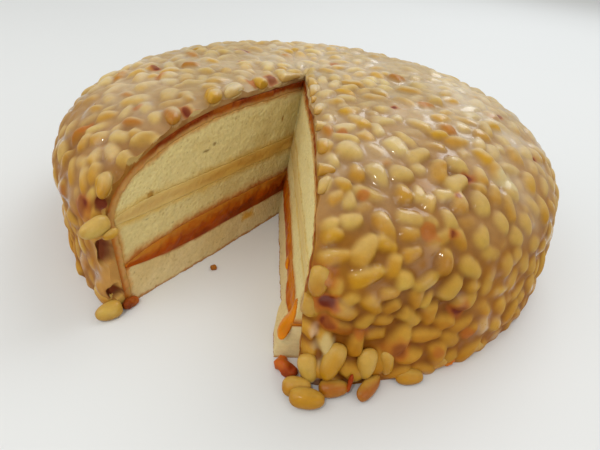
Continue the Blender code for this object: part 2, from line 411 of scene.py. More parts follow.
def add_piece(name, skin, material, replaced=(), normals=None):
    """Makes the mesh and the object, in metres, with its colour and shine as attributes."""
    mesh = bpy.data.meshes.new(name)
    mesh.from_pydata((skin.points * MM).tolist(), [], skin.mesh_faces())
    mesh.shade_smooth()
    paint = np.concatenate([skin.colour, np.ones((len(skin.points), 1))], axis=1)
    mesh.attributes.new("paint", "FLOAT_COLOR", "POINT").data.foreach_set("color", paint.ravel())
    mesh.attributes.new("shine", "FLOAT", "POINT").data.foreach_set("value", skin.shine)
    if normals is not None:
        own = np.empty(len(skin.points) * 3)
        mesh.vertices.foreach_get("normal", own)
        own = own.reshape(-1, 3)
        own[normals[0]] = normals[1]
        mesh.normals_split_custom_set_from_vertices(own.tolist())
    mesh.materials.append(material)
    piece = bpy.data.objects.new(name, mesh)
    bpy.context.scene.collection.objects.link(piece)
    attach(piece, "root")
    if replaced:
        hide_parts(*replaced)
    mesh.calc_loop_triangles()
    print(f"{name}: {len(mesh.loop_triangles)} triangles")


print("every piece is a skin over grids of points, merged where they meet")

# %% [markdown]
# ## Shader maths in words
# A material's nodes are easier to read as sums. A small class wraps a socket, so that + - and * on
# it add the Math nodes, and one method adds any other node.

# %% Shader helper
class Wire:
    """A shader output that adds Math nodes when it is used in a sum."""

    def __init__(self, finish, socket):
        self.finish = finish
        self.socket = socket

    def math(self, operation, first, second):
        return self.finish.node("ShaderNodeMath", {"operation": operation}, {0: first, 1: second})

    def __add__(self, other):
        return self.math("ADD", self, other)

    def __sub__(self, other):
        return self.math("SUBTRACT", self, other)

    def __rsub__(self, other):
        return self.math("SUBTRACT", other, self)

    def __mul__(self, other):
        return self.math("MULTIPLY", self, other)

    __radd__ = __add__
    __rmul__ = __mul__


class Finish:
    """A Principled material that is built up node by node."""

    def __init__(self, name, **fixed):
        self.material = bpy.data.materials.new(name)
        self.material.use_nodes = True
        self.tree = self.material.node_tree
        self.shader = self.tree.nodes["Principled BSDF"]
        for socket, value in fixed.items():
            self.shader.inputs[socket.replace("_", " ")].default_value = value
        self.place = self.node("ShaderNodeTexCoord", {}, {}, "Object")

    def node(self, kind, settings, sockets, output=0):
        made = self.tree.nodes.new(kind)
        for key, value in settings.items():
            setattr(made, key, value)
        for key, value in sockets.items():
            if isinstance(value, Wire):
                self.tree.links.new(value.socket, made.inputs[key])
            else:
                made.inputs[key].default_value = value
        return Wire(self, made.outputs[output])

    def attribute(self, name, output):
        return self.node("ShaderNodeAttribute", {"attribute_name": name}, {}, output)

    def noise(self, scale, detail=3.0, output="Fac"):
        sockets = {"Vector": self.place, "Scale": scale, "Detail": detail}
        return self.node("ShaderNodeTexNoise", {}, sockets, output)

    def tinted(self, base, fac, tint):
        """Mixes a fixed tint into a colour by a factor."""
        settings = {"data_type": "RGBA", "clamp_factor": True}
        return self.node("ShaderNodeMix", settings, {0: fac, 6: base, 7: (*tint, 1.0)}, 2)

    def scaled(self, base, factor):
        """Lightens or darkens a colour without turning it grey."""
        settings = {"operation": "SCALE"}
        return self.node("ShaderNodeVectorMath", settings, {0: base, 3: factor}, 0)

    def link(self, wire, socket):
        self.tree.links.new(wire.socket, self.shader.inputs[socket])

    def bump(self, height, strength, distance):
        """Relief finer than the mesh, with its full height in millimetres."""
        sockets = {"Height": height, "Strength": strength, "Distance": distance * MM}
        self.link(self.node("ShaderNodeBump", {}, sockets), "Normal")


print("a wire can be added to, taken from and multiplied by a number or another wire")

# %% [markdown]
# ## The icing's finish
# Icing is sugar and a little liquid: half clear, so light goes in and comes out again. Most of its
# colour is painted on the mesh's points further down, where it is known which point is nut and
# which is icing. The nodes add what is finer than the mesh: cloudiness and a skin of tiny waves.

# %% Icing and nut finish
def icing_finish():
    finish = Finish(
        "nut_icing",
        Subsurface_Weight=0.30,
        Subsurface_Radius=(1.0, 0.72, 0.34),
        Subsurface_Scale=0.0022,
        Specular_IOR_Level=0.14,
        Coat_Roughness=0.07,
    )
    paint = finish.attribute("paint", "Color")
    shine = finish.attribute("shine", "Fac")
    cloud = finish.noise(420.0, 4.0)
    grain = finish.noise(1900.0, 3.0)
    finish.link(finish.scaled(paint, 0.80 + cloud * 0.28 + grain * 0.12), "Base Color")
    finish.link(0.52 + cloud * 0.12 - shine * 0.30, "Roughness")
    finish.link(0.02 + shine * 0.85, "Coat Weight")
    finish.bump(cloud * 0.7 + grain * 0.3, 0.22, 0.5)
    return finish.material


ICING = icing_finish()
print("icing finish made")

# %% [markdown]
# ## The icing's outline
# Nuts lie on the icing's outline: a flat top, a quarter of an ellipse and an upright side. A table of
# even steps down it lets nuts be thrown all over it, and a formula tells how far a point is from it.
# Low down the real icing has settled outwards, most at the right.

# %% The icing's outline
TABLE_STEPS = 240
UPWARD = np.array((0.0, 0.0, 1.0))


def icing_table():
    """Radius, height, slope and share of the area above, at even steps down the icing's surface."""
    turns = np.linspace(0.0, math.pi / 2, TABLE_STEPS + 1)
    end = SHOULDER_START + ICING_ACROSS
    radius = np.concatenate([[0.0], SHOULDER_START + ICING_ACROSS * np.sin(turns), [end]])
    height = np.concatenate([[SPRING + ICING_DROP], SPRING + ICING_DROP * np.cos(turns), [0.0]])
    lengths = np.append(0.0, np.cumsum(np.hypot(np.diff(radius), np.diff(height))))
    steps = np.linspace(0.0, lengths[-1], TABLE_STEPS)
    radius, height = np.interp(steps, lengths, radius), np.interp(steps, lengths, height)
    slope = np.stack([np.gradient(radius), np.gradient(height)], axis=1)
    slope /= np.linalg.norm(slope, axis=1, keepdims=True)
    area = np.append(0.0, np.cumsum((radius[1:] + radius[:-1]) / 2 * np.diff(steps)))
    return radius, height, slope, area / area[-1]


def over_icing(points):
    """Distance of points from the plain outline, along its normal, and that outward normal.

    On the shoulder both shares of the ellipse square to 1 on the outline. What they square to beyond
    that, over twice its steepness, is the distance.
    """
    ring = np.hypot(points[:, 0], points[:, 1])
    outward = points * (1, 1, 0) / ring[:, None]
    out, up = (ring - SHOULDER_START) / ICING_ACROSS, (points[:, 2] - SPRING) / ICING_DROP
    steep = np.hypot(out / ICING_ACROSS, up / ICING_DROP)
    normal = outward * (out / ICING_ACROSS / steep)[:, None] + UPWARD * (up / ICING_DROP / steep)[:, None]
    normal = np.where((up < 0)[:, None], outward, normal)
    normal = np.where((out < 0)[:, None], UPWARD, normal)
    away = np.where(up < 0, ring - SHOULDER_START - ICING_ACROSS, (out**2 + up**2 - 1) / (2 * steep))
    return np.where(out < 0, points[:, 2] - SPRING - ICING_DROP, away), normal


def sagged(points):
    """How far the icing's lower side has settled outwards, in mm: most at the right, least at the back."""
    x, y, z = points[..., 0], points[..., 1], points[..., 2]
    front = ramp(0.9 * x - y, 40.0, 110.0) * ramp(x, -14.0, 10.0)
    upper = 22 + 26 * ramp(x, 20.0, 85.0)
    return (1.0 + 3.6 * front) * (1 - ramp(z, 0.12 * upper, upper))


def outside_slice(points):
    """Distance from the nearer cut, and below 0 in the missing slice."""
    return np.maximum(behind_cut(points, LEFT_OUT), behind_cut(points, RIGHT_OUT))


print("plain icing's radius and height:", SHOULDER_START + ICING_ACROSS, SPRING + ICING_DROP)

# %% [markdown]
# ## Nuts that were read one by one
# A random scatter never looks like the cake that was baked. So the nuts that can be told apart were
# read in nine enlarged windows of the photo: both ends, the width and the tone of each, in the
# window's own pixels. A window has its left and top edge in the photo, and how many of its pixels make
# one of the photo's. Hidden ends read too short and blurred sides too wide, so each window also says
# which sizes are believed. On edges seen too flat such a reading gives only a rough place, so the few
# nuts there are in millimetres: rough places, rounded and then corrected.

# %% Nuts that were read one by one
# least and largest half length, then half width
NEAR_SIZES = (3.6, 7.0, 2.2, 4.1)
SIDE_SIZES = (3.6, 6.4, 2.2, 3.7)
FAR_SIZES = (3.4, 6.2, 2.0, 3.2)
WIDEST_LOW_DOWN = 3.6
LEAST_SLENDER = 1.35  # a nut is at least this much longer than wide
GUESSED_HALF_WIDTH = 2.8  # where a nut's side can't be read
NUTS_OUT_TO = 114.9  # no nut's middle is read further out than this

# name, left and top edge, enlargement, believed sizes, and the nuts in it:
# x and y of one end, x and y of the other, width, and tone (0 pale, 1 gold, 2 yellow, 3 toasted)
WINDOWS = (
    ("right of the slice", (305, 150), 13.067, NEAR_SIZES, (
        (310, 40, 420, 200, 130, 0), (640, 150, 690, 440, 220, 1), (820, 160, 1060, 460, 210, 0),
        (1085, 270, 1425, 310, 190, 0), (1270, 410, 1280, 700, 210, 2), (1175, 820, 1540, 960, 190, 0),
        (225, 970, 480, 910, 170, 0), (490, 920, 760, 850, 200, 0), (230, 1140, 530, 1080, 150, 2),
        (340, 620, 480, 560, 110, 1), (330, 360, 200, 520, 150, 0), (580, 520, 560, 760, 130, 0),
        (1300, 1090, 1420, 1090, 120, 1),
    )),
    ("edge of the slice", (310, 130), 9.8, NEAR_SIZES, (
        (245, 160, 535, 255, 150, 0), (740, 80, 960, 260, 140, 0), (930, 300, 1160, 200, 140, 0),
        (1070, 500, 1080, 720, 120, 0), (650, 780, 820, 1130, 180, 1),
    )),
    ("right side", (425, 150), 11.615, SIDE_SIZES, (
        (150, 110, 150, 370, 220, 1), (250, 120, 550, 260, 180, 0), (590, 160, 670, 400, 130, 1),
        (620, 50, 720, 150, 110, 2), (760, 180, 860, 340, 150, 1), (140, 510, 285, 510, 130, 0),
        (370, 460, 450, 730, 150, 1), (580, 480, 690, 740, 190, 0), (800, 380, 830, 660, 140, 1),
        (990, 370, 1020, 590, 160, 0), (1170, 240, 1230, 520, 150, 2), (1330, 520, 1410, 880, 170, 2),
        (1100, 720, 1230, 980, 130, 0), (830, 770, 930, 950, 140, 0), (700, 840, 620, 1100, 190, 0),
        (1000, 940, 1120, 1100, 150, 0), (1210, 1080, 1350, 1080, 140, 0), (370, 930, 480, 1161, 130, 1),
        (250, 660, 340, 900, 150, 0), (0, 830, 120, 850, 110, 0), (1000, 20, 1100, 160, 120, 1),
    )),
    ("front, low", (305, 240), 13.067, NEAR_SIZES, (
        (140, 250, 630, 170, 170, 1), (580, 560, 1080, 400, 230, 2), (1180, 520, 1480, 570, 260, 0),
        (380, 530, 400, 780, 180, 1), (760, 760, 960, 980, 230, 2), (990, 760, 1240, 720, 150, 1),
        (360, 930, 680, 1040, 200, 1), (1000, 20, 1190, 110, 150, 2), (1290, 200, 1510, 100, 140, 1),
        (1460, 650, 1450, 930, 130, 1),
    )),
    ("right side, low", (425, 240), 11.615, SIDE_SIZES, (
        (270, 110, 240, 370, 200, 1), (420, 250, 640, 440, 230, 0), (170, 700, 420, 430, 270, 0),
        (1130, 100, 1180, 450, 220, 0), (920, 210, 960, 430, 160, 1), (700, 640, 980, 560, 120, 0),
        (850, 700, 900, 880, 170, 1), (600, 720, 740, 860, 160, 1), (130, 990, 320, 900, 150, 1),
        (660, 900, 680, 1090, 150, 0), (230, 1080, 560, 900, 120, 1), (420, 1130, 570, 1000, 110, 3),
    )),
    ("middle of the top", (305, 60), 13.067, FAR_SIZES, (
        (360, 140, 430, 320, 150, 0), (230, 120, 200, 390, 150, 0), (180, 480, 370, 380, 160, 0),
        (400, 470, 680, 530, 150, 0), (720, 260, 900, 350, 140, 0), (440, 370, 690, 380, 100, 0),
        (730, 460, 1090, 540, 170, 1), (950, 340, 1120, 420, 130, 0), (850, 170, 1000, 250, 110, 1),
        (1130, 220, 1300, 280, 130, 3), (450, 720, 770, 640, 170, 2), (260, 700, 340, 800, 140, 0),
        (910, 660, 1150, 640, 130, 0), (1120, 500, 1430, 620, 150, 2), (1450, 600, 1700, 600, 140, 3),
        (830, 780, 1190, 820, 180, 0), (400, 900, 650, 860, 170, 0), (280, 850, 310, 1010, 120, 3),
        (690, 930, 860, 1060, 130, 1), (1410, 310, 1568, 370, 90, 0), (1190, 50, 1500, 120, 100, 0),
        (830, 130, 1080, 120, 60, 1),
    )),
    ("top, right", (425, 60), 13.067, FAR_SIZES, (
        (480, 740, 770, 730, 200, 0), (800, 690, 900, 770, 110, 3), (110, 780, 300, 740, 140, 1),
        (240, 860, 340, 960, 120, 3), (230, 1110, 640, 1040, 170, 1), (780, 850, 970, 920, 110, 2),
        (650, 960, 870, 1040, 120, 1), (220, 500, 480, 580, 90, 1), (930, 980, 1100, 1150, 150, 0),
        (950, 660, 1060, 730, 90, 0), (50, 240, 190, 300, 80, 0),
    )),
    ("left shoulder", (60, 60), 13.067, FAR_SIZES, (
        (310, 550, 520, 490, 120, 1), (460, 800, 740, 710, 110, 1), (90, 960, 210, 800, 140, 0),
        (150, 1040, 350, 880, 110, 3), (280, 1150, 380, 1000, 130, 1), (440, 1060, 630, 980, 150, 1),
        (1080, 140, 1220, 110, 80, 1), (1270, 180, 1560, 120, 130, 1),
    )),
    ("top, left", (160, 38), 10.453, FAR_SIZES, (
        (300, 160, 380, 210, 90, 3), (250, 300, 410, 290, 90, 3), (420, 320, 540, 360, 100, 0),
        (210, 530, 350, 680, 130, 1), (690, 560, 850, 480, 140, 0), (990, 420, 1100, 500, 110, 2),
        (1090, 190, 1150, 410, 150, 0), (1220, 310, 1330, 450, 130, 0), (1260, 150, 1390, 260, 100, 3),
        (1470, 190, 1480, 380, 110, 0), (600, 220, 810, 200, 110, 0), (400, 220, 620, 270, 110, 1),
    )),
)

# x, y, height, degrees from downhill, half length, half width and tone
PLACED_NUTS = (
    (39, -108, 11, 92, 5.2, 3.2, 1), (44, -106, 18, 84, 6.2, 2.6, 1), (44, -106, 26, 8, 5.0, 2.9, 1),
    (21, -113, 17, 160, 5.0, 3.0, 2), (29, -112, 26, 85, 3.4, 2.2, 1), (10, -115, 17, 16, 6.2, 2.9, 0),
    (-39, -44, 68, 50, 6.2, 3.4, 2), (-50, -60, 65, 61, 6.0, 3.1, 3), (-44, -62, 65, 60, 5.2, 3.0, 1),
    (-66, -87, 49, 37, 4.9, 2.9, 2), (-75, -82, 47, 44, 5.1, 2.6, 1), (-83, -75, 46, 50, 6.0, 2.4, 1),
    (-61, -83, 54, 22, 4.2, 2.4, 1), (-56, -61, 64, 67, 4.6, 3.0, 0), (-50, -31, 68, 152, 5.4, 2.6, 0),
    (-64, -62, 61, 111, 4.8, 2.4, 3), (-75, -40, 63, 123, 4.4, 2.3, 3), (-66, -69, 59, 114, 4.5, 2.6, 0),
)
print("nuts read:", sum(len(window[4]) for window in WINDOWS), "and in millimetres:", len(PLACED_NUTS))

# %% [markdown]
# ## From a reading to a place
# A pixel is a ray out of the camera. What shows there is a nut that stands on the outline, so the ray
# is followed to the outline, and then back until it is as far outside as the icing has settled there
# plus one millimetre. Straight below lies the nut. Its ends and sides give its size and heading.

# %% From a reading to a place
PHOTO_MIDDLE = np.array((300.0, 225.0))
LENS_IN_PIXELS = 434.06  # the camera's lens again, in the photo's pixels
RAY_REACH = (60.0, 420.0)
RAY_STEPS = 7201
BACK_STEPS = np.arange(0.0, 25.0, 0.1)[:, None]
NUT_OVER_ICING = 1.0


def under_pixel(pixel):
    """The point of the plain outline that lies below what shows at a pixel, or None off the cake."""
    forward, right, up = camera_axes()
    x, y = pixel - PHOTO_MIDDLE
    aim = forward * LENS_IN_PIXELS + right * x - up * y
    aim = aim / np.linalg.norm(aim)
    ray = np.array(CAMERA_PLACE) + np.linspace(*RAY_REACH, RAY_STEPS)[:, None] * aim
    out = (np.hypot(ray[:, 0], ray[:, 1]) - SHOULDER_START) / ICING_ACROSS
    top = SPRING + ICING_DROP * np.sqrt(1 - np.clip(out, 0.0, 1.0) ** 2)
    inside = (out < 1) & (ray[:, 2] < top) & (ray[:, 2] > 0)
    if not inside.any():
        return None
    back = ray[inside.argmax()] - BACK_STEPS * aim
    away, normal = over_icing(back)
    wanted = sagged(back - normal * np.maximum(away, 0.0)[:, None]) + NUT_OVER_ICING
    first = (away >= wanted).argmax()
    return back[first] - normal[first] * away[first]


def read_nut(ends, wide, sizes):
    """Place, degrees from downhill, half length and half width of a nut, rounded, or None."""
    halfway = ends.mean(0)
    middle = under_pixel(halfway)
    first, last = under_pixel(ends[0]), under_pixel(ends[1])
    normal = over_icing(middle[None])[1][0]
    outward = middle * (1, 1, 0) / math.hypot(*middle[:2])
    sideways = np.cross(UPWARD, outward)
    if first is None or last is None:
        way = (under_pixel(halfway + (ends[0] - halfway) / 2) - middle) * 4
    else:
        way = last - first
    way = way - normal * (way @ normal)
    half_length = np.linalg.norm(way) / 2
    way = way / np.linalg.norm(way)
    x, y = (ends[1] - ends[0]) / np.linalg.norm(ends[1] - ends[0])
    aside = np.array((-y, x)) * wide / 2
    one, other = under_pixel(halfway + aside), under_pixel(halfway - aside)
    half_width = GUESSED_HALF_WIDTH
    if one is not None and other is not None:
        half_width = abs((one - other) @ np.cross(normal, way)) / 2
    heading = math.degrees(math.atan2(way @ sideways, way @ np.cross(sideways, normal))) % 180
    half_length, half_width = np.clip((half_length, half_width), sizes[0::2], sizes[1::2])
    if middle[2] < SPRING:
        half_width = min(half_width, WIDEST_LOW_DOWN)
    half_length = max(half_length, LEAST_SLENDER * half_width)
    middle[:2] *= min(NUTS_OUT_TO / math.hypot(*middle[:2]), 1.0)
    return (*middle.round(), round(heading), round(half_length, 1), round(half_width, 1))


def read_windows():
    """Every nut that was read, in the form of the nuts given in millimetres."""
    found = []
    for name, edge, enlarged, sizes, readings in WINDOWS:
        for x1, y1, x2, y2, wide, tone in readings:
            ends = np.array(edge) + np.array(((x1, y1), (x2, y2))) / enlarged
            found.append((*read_nut(ends, wide / enlarged, sizes), tone))
    return found


SEEN_NUTS = (*PLACED_NUTS, *read_windows())
print("nuts with a place of their own:", len(SEEN_NUTS))

# %% [markdown]
# ## Sowing the nuts
# The nuts with a place of their own come first. Elsewhere the largest nuts are where the solid has
# them, from the same seed and draws. The real cake is packed far tighter, so more throws fill the
# places between. A new nut is kept if its oval doesn't push far into any that already lies there.

# %% Throwing nuts at the icing
def throw(draw, tries):
    """Random places on the icing, as middle, outward normal and a random long direction."""
    radius, height, slope, area = icing_table()
    rows = np.arange(TABLE_STEPS)
    where = np.interp(draw.random(tries), area, rows)
    around = draw.random(tries) * math.tau
    heading = draw.random(tries) * math.tau
    size = draw.random(tries)
    r, z = np.interp(where, rows, radius), np.interp(where, rows, height)
    down = np.stack([np.interp(where, rows, slope[:, k]) for k in (0, 1)], axis=1)
    outward = np.stack([np.cos(around), np.sin(around), 0 * around], axis=1)
    sideways = np.stack([-np.sin(around), np.cos(around), 0 * around], axis=1)
    middle = outward * r[:, None] + UPWARD * z[:, None]
    downhill = outward * down[:, :1] + UPWARD * down[:, 1:]
    normal = outward * -down[:, 1:] + UPWARD * down[:, :1]
    long_way = downhill * np.cos(heading)[:, None] + sideways * np.sin(heading)[:, None]
    return middle, normal, long_way, size


def along_cut(middle, normal, draw, turn=0.6):
    """Long directions that follow the nearer cut edge to within a turn, in radians."""
    left = np.abs(behind_cut(middle, LEFT_OUT)) < np.abs(behind_cut(middle, RIGHT_OUT))
    out = np.where(left[:, None], LEFT_OUT, RIGHT_OUT)
    edge = np.cross(normal, out)
    edge /= np.linalg.norm(edge, axis=1, keepdims=True)
    turn = draw.uniform(-turn, turn, len(middle))[:, None]
    return edge * np.cos(turn) + np.cross(normal, edge) * np.sin(turn)


def oval_reach(offset, long_way, cross, width, length):
    """Radius of an oval in the direction of an offset."""
    size = np.linalg.norm(offset, axis=-1)
    along = (offset * long_way).sum(-1) / length
    across = (offset * cross).sum(-1) / width
    return size / np.maximum(np.hypot(along, across), 1e-6)


REACH_OF_TWO_NUTS = 14.0  # nuts further apart than this can't touch


class Nuts:
    """Arrays of all the nuts, with room to add more."""

    def __init__(self, room):
        self.count = 0
        self.middle, self.normal, self.long_way, self.cross = (np.zeros((room, 3)) for _ in range(4))
        self.width, self.length = np.ones(room), np.ones(room)

    def add(self, middle, normal, long_way, width, length):
        i = self.count
        self.middle[i], self.normal[i], self.long_way[i] = middle, normal, long_way
        self.cross[i] = np.cross(normal, long_way)
        self.width[i], self.length[i] = width, length
        self.count += 1

    def has_room(self, middle, long_way, cross, width, length, nearness):
        """True if an oval at a place keeps its distance from every oval that is already there."""
        gap = self.middle[:self.count] - middle
        distance = np.sqrt((gap**2).sum(1))
        near = np.flatnonzero(distance < REACH_OF_TWO_NUTS)
        gap = gap[near]
        reach = oval_reach(gap, self.long_way[near], self.cross[near], self.width[near], self.length[near])
        reach = reach + oval_reach(gap, long_way, cross, width, length)
        return not (distance[near] < reach * nearness).any()

    def add_where_room(self, thrown, numbers, widths, lengths, nearness):
        """Goes through some of the thrown nuts in turn and adds each that has room."""
        middle, normal, long_way = thrown
        cross = np.cross(normal, long_way)
        for i in numbers:
            if self.has_room(middle[i], long_way[i], cross[i], widths[i], lengths[i], nearness):
                self.add(middle[i], normal[i], long_way[i], widths[i], lengths[i])


NUTS = Nuts(4000)
print("room for", len(NUTS.width), "nuts")

# %% [markdown]
# The large nuts repeat the solid's throws: a place is taken if it is far enough from those before,
# whether or not a nut then fits there. The fills are three rounds of throws, first for the edges of
# the cuts, where nuts lie along the edge, and last for the smallest gaps.

# %% Sow the nuts
SEEN_CLEAR_OF_CUT = 0.4
NUT_LENGTH = (5.6, 6.9)
NUT_WIDTH = (3.5, 4.2)
NUT_SPACING = 12.2
NUT_CLEAR_OF_CUT = 2.5
NUT_LOWEST = 4.5
NUT_TRIES = 9000
NUT_SEED = 11
SLIMMER = 0.9  # a thick film hides the lowest part of the large nuts
LARGE_NEARNESS = 0.9

# Each later throw: tries, half length, half width, how near to touching two nuts may come (below 1
# they push into each other), and whether it only fills the edges of the cuts.
FILLS = (
    (60000, (4.2, 6.0), (2.5, 3.2), 0.90, True),
    (60000, (4.4, 6.6), (2.5, 3.4), 0.94, False),
    (9000, (2.9, 4.2), (1.9, 2.7), 0.90, False),
)
FILL_SEED = 5
FILL_LOWEST = 1.0
CUT_EDGE = (0.6, 2.6)  # from and to this far behind a cut counts as its edge


def part_way(ends, share):
    """The value at a share of the way between two ends."""
    return ends[0] + (ends[1] - ends[0]) * share


def add_seen(nuts):
    """Adds the nuts with a place of their own, moved onto the icing's outline, and gives their tones."""
    radius, height, slope, _ = icing_table()
    tones = []
    for x, y, z, heading, length, width, tone in SEEN_NUTS:
        row = np.hypot(radius - math.hypot(x, y), height - z).argmin()
        outward = np.array((x, y, 0.0)) / math.hypot(x, y)
        middle = outward * radius[row] + UPWARD * height[row]
        if outside_slice(middle) < SEEN_CLEAR_OF_CUT:
            continue
        downhill = outward * slope[row, 0] + UPWARD * slope[row, 1]
        normal = UPWARD * slope[row, 0] - outward * slope[row, 1]
        turn = math.radians(heading)
        long_way = downhill * math.cos(turn) + np.cross(UPWARD, outward) * math.sin(turn)
        nuts.add(middle, normal, long_way, width, length)
        tones.append(tone)
    return np.array(tones)


def add_large(nuts):
    """Adds the large nuts of the solid, where no nut with a place of its own is in the way."""
    draw = np.random.default_rng(NUT_SEED)
    middle, normal, long_way, size = throw(draw, NUT_TRIES)
    allowed = (outside_slice(middle) > NUT_CLEAR_OF_CUT) & (middle[:, 2] > NUT_LOWEST)
    width, length = part_way(NUT_WIDTH, size) * SLIMMER, part_way(NUT_LENGTH, size)
    taken = []
    for i in np.flatnonzero(allowed):
        if (np.linalg.norm(middle[taken] - middle[i], axis=1) > NUT_SPACING).all():
            taken.append(i)
    nuts.add_where_room((middle, normal, long_way), taken, width, length, LARGE_NEARNESS)


def add_fills(nuts):
    """Adds smaller nuts in the places between."""
    draw = np.random.default_rng(FILL_SEED)
    for tries, lengths, widths, nearness, beside_cut in FILLS:
        middle, normal, long_way, size = throw(draw, tries)
        inside = outside_slice(middle)
        allowed = (inside > 0.0) & (middle[:, 2] > FILL_LOWEST)
        if beside_cut:
            allowed &= (inside > CUT_EDGE[0]) & (inside < CUT_EDGE[1])
            long_way = along_cut(middle, normal, draw)
        length, width = part_way(lengths, size), part_way(widths, draw.random(tries))
        thrown = (middle, normal, long_way)
        nuts.add_where_room(thrown, np.flatnonzero(allowed), width, length, nearness)


SEEN_TONES = add_seen(NUTS)
add_large(NUTS)
LARGE_NUTS = NUTS.count
add_fills(NUTS)
NUT_COUNT = NUTS.count
print("nuts:", NUT_COUNT, "of which with a place of their own:", len(SEEN_TONES), "and large:", LARGE_NUTS)

# %% [markdown]
# ## A nut's shape
# A pine nut is a drop with blunt ends, a little flatter than it is wide, that lies sunk in the icing.
# No two are alike: some ride high or tilt, some taper more, and some of the smaller ones are broken.

# %% Arrays for the nuts' shapes
NUT_FLATNESS = 0.85
NUT_TAPER = 0.24
NUT_SINK = 0.2
NUT_MIDDLE, NUT_NORMAL = NUTS.middle[:NUT_COUNT], NUTS.normal[:NUT_COUNT]
NUT_LONG, NUT_CROSS = NUTS.long_way[:NUT_COUNT], NUTS.cross[:NUT_COUNT]
NUT_HALF_WIDTH, NUT_HALF_LENGTH = NUTS.width[:NUT_COUNT], NUTS.length[:NUT_COUNT]
NUT_TALL = NUT_HALF_WIDTH * NUT_FLATNESS
print("half widths from", NUT_HALF_WIDTH.min().round(2), "to", NUT_HALF_WIDTH.max().round(2), "mm")

# %% [markdown]
# ## Nut colours
# Pine nuts are cream to gold, with some toasted brown. Each nut gets a mix of its own. Later the
# icing's white film covers what looks up, and thins out on the sides, as it does when it is poured,
# and painted light makes the sides that face up and back, towards the lamp behind, paler still.

# %% Nut colours
PALE_NUT = colour(205, 182, 120)
GOLD_NUT = colour(189, 144, 52)
YELLOW_NUT = colour(194, 151, 32)
TOASTED_NUT = colour(168, 106, 30)
NUT_SIDE = colour(168, 120, 32)
FILM_TOP = colour(199, 181, 145)
FILM_LOW = colour(191, 151, 63)
TONE_PAINT = np.array((PALE_NUT, GOLD_NUT, YELLOW_NUT, TOASTED_NUT))
TONE_BARE = np.array((0.30, 0.60, 0.90, 1.15))  # how clear of the white film each tone is
TONE_RISE = np.array((0.1, 0.25, 0.55, 0.55))  # how much higher nuts of each tone ride, in mm
YELLOW_FROM, TOASTED_FROM = 0.80, 0.97  # a random pick above these makes a nut yellow, or toasted
UNBROKEN = 2.0  # broken off beyond its own end, so not at all

draw = np.random.default_rng(21)
pick = draw.random(NUT_COUNT)
NUT_PAINT = blend(PALE_NUT, GOLD_NUT, draw.random(NUT_COUNT))
yellowish = blend(GOLD_NUT, YELLOW_NUT, draw.random(NUT_COUNT))
NUT_PAINT = np.where((pick > YELLOW_FROM)[:, None], yellowish, NUT_PAINT)
toasted = blend(YELLOW_NUT, TOASTED_NUT, pick * 0.9)
NUT_PAINT = np.where((pick > TOASTED_FROM)[:, None], toasted, NUT_PAINT)
NUT_BARE = draw.random(NUT_COUNT) * 0.9
NUT_BARE[pick > TOASTED_FROM] = 1.1
SEEN = len(SEEN_TONES)
own = draw.random(SEEN) * 0.3
NUT_PAINT[:SEEN] = blend(TONE_PAINT[SEEN_TONES], GOLD_NUT, own)
NUT_BARE[:SEEN] = TONE_BARE[SEEN_TONES] + own - 0.15
NUT_RISE = draw.normal(0.0, 0.5, NUT_COUNT)
NUT_RISE[:LARGE_NUTS] = np.abs(NUT_RISE[:LARGE_NUTS]) * 0.3
NUT_RISE[:SEEN] += TONE_RISE[SEEN_TONES]
NUT_TILT = draw.normal(0.0, 0.10, NUT_COUNT)
NUT_TAPERS = draw.uniform(0.0, 0.26, NUT_COUNT)
NUT_TAPERS[:LARGE_NUTS] = NUT_TAPER
NUT_BLUNT = draw.uniform(2.1, 3.3, NUT_COUNT)
NUT_BROKEN = np.where(draw.random(NUT_COUNT) < 0.22, draw.uniform(0.1, 0.6, NUT_COUNT), UNBROKEN)
NUT_BROKEN[:LARGE_NUTS] = UNBROKEN
print("toasted nuts:", int((NUT_BARE > 1.0).sum()))

# %% [markdown]
# ## The icing over the nuts
# Where nuts lie in icing, the surface is whichever is higher, with the icing creeping up the nut in
# a small fillet. So a height is worked out on the grid of rings and rays: first every nut as an egg
# shape that rises out of the dome, then the level of the icing, and a smooth maximum of the two.
# Columns are closer together at the front, where the camera is near.

# %% Height of the icing and the nuts
ROW_SPACING = 0.55
SECTOR_ENDS = [math.degrees(RIGHT_CUT), 346.0, 436.0, 516.0, math.degrees(LEFT_CUT) + 360]
SECTOR_COLUMNS = (288, 228, 204, 288)
BACKBONE = 12  # the hidden inner wall has one column for this many outer ones
NO_NUT = -3.0  # the height where no nut is


def smooth_max(first, second, blur):
    """The higher of two heights, with a fillet of about this size where they meet."""
    close = np.maximum(blur - np.abs(first - second), 0.0)
    return np.maximum(first, second) + close * close / (4 * blur)


def relaxed(field, times):
    """Averages each value with its four neighbours, over and over."""
    field = field.copy()
    for _ in range(times):
        wide = np.pad(field, 1, mode="edge")
        around = wide[2:, 1:-1] + wide[:-2, 1:-1] + wide[1:-1, 2:] + wide[1:-1, :-2]
        field = field * 0.5 + around * 0.125
    return field


def all_angles():
    """The rays' headings, from the right cut round to the left one, as close as each sector needs."""
    ends = np.radians(SECTOR_ENDS)
    runs = [np.linspace(a, b, n + 1)[:-1] for a, b, n in zip(ends[:-1], ends[1:], SECTOR_COLUMNS)]
    return np.append(np.concatenate(runs), ends[-1])


def warped(points):
    """Points stirred a little, so that no outline stays a perfect oval."""
    coarse = np.stack([noise(points, 6.0, seed) for seed in (61, 62, 63)], axis=-1)
    fine = np.stack([noise(points, 2.4, seed) for seed in (64, 65, 66)], axis=-1)
    return points + 0.55 * coarse + 0.22 * fine


DOME = Dome(ROW_SPACING)
ANGLES = all_angles()
BASE = DOME.points(ICING_GROWTH, ANGLES)
STIRRED = warped(BASE)


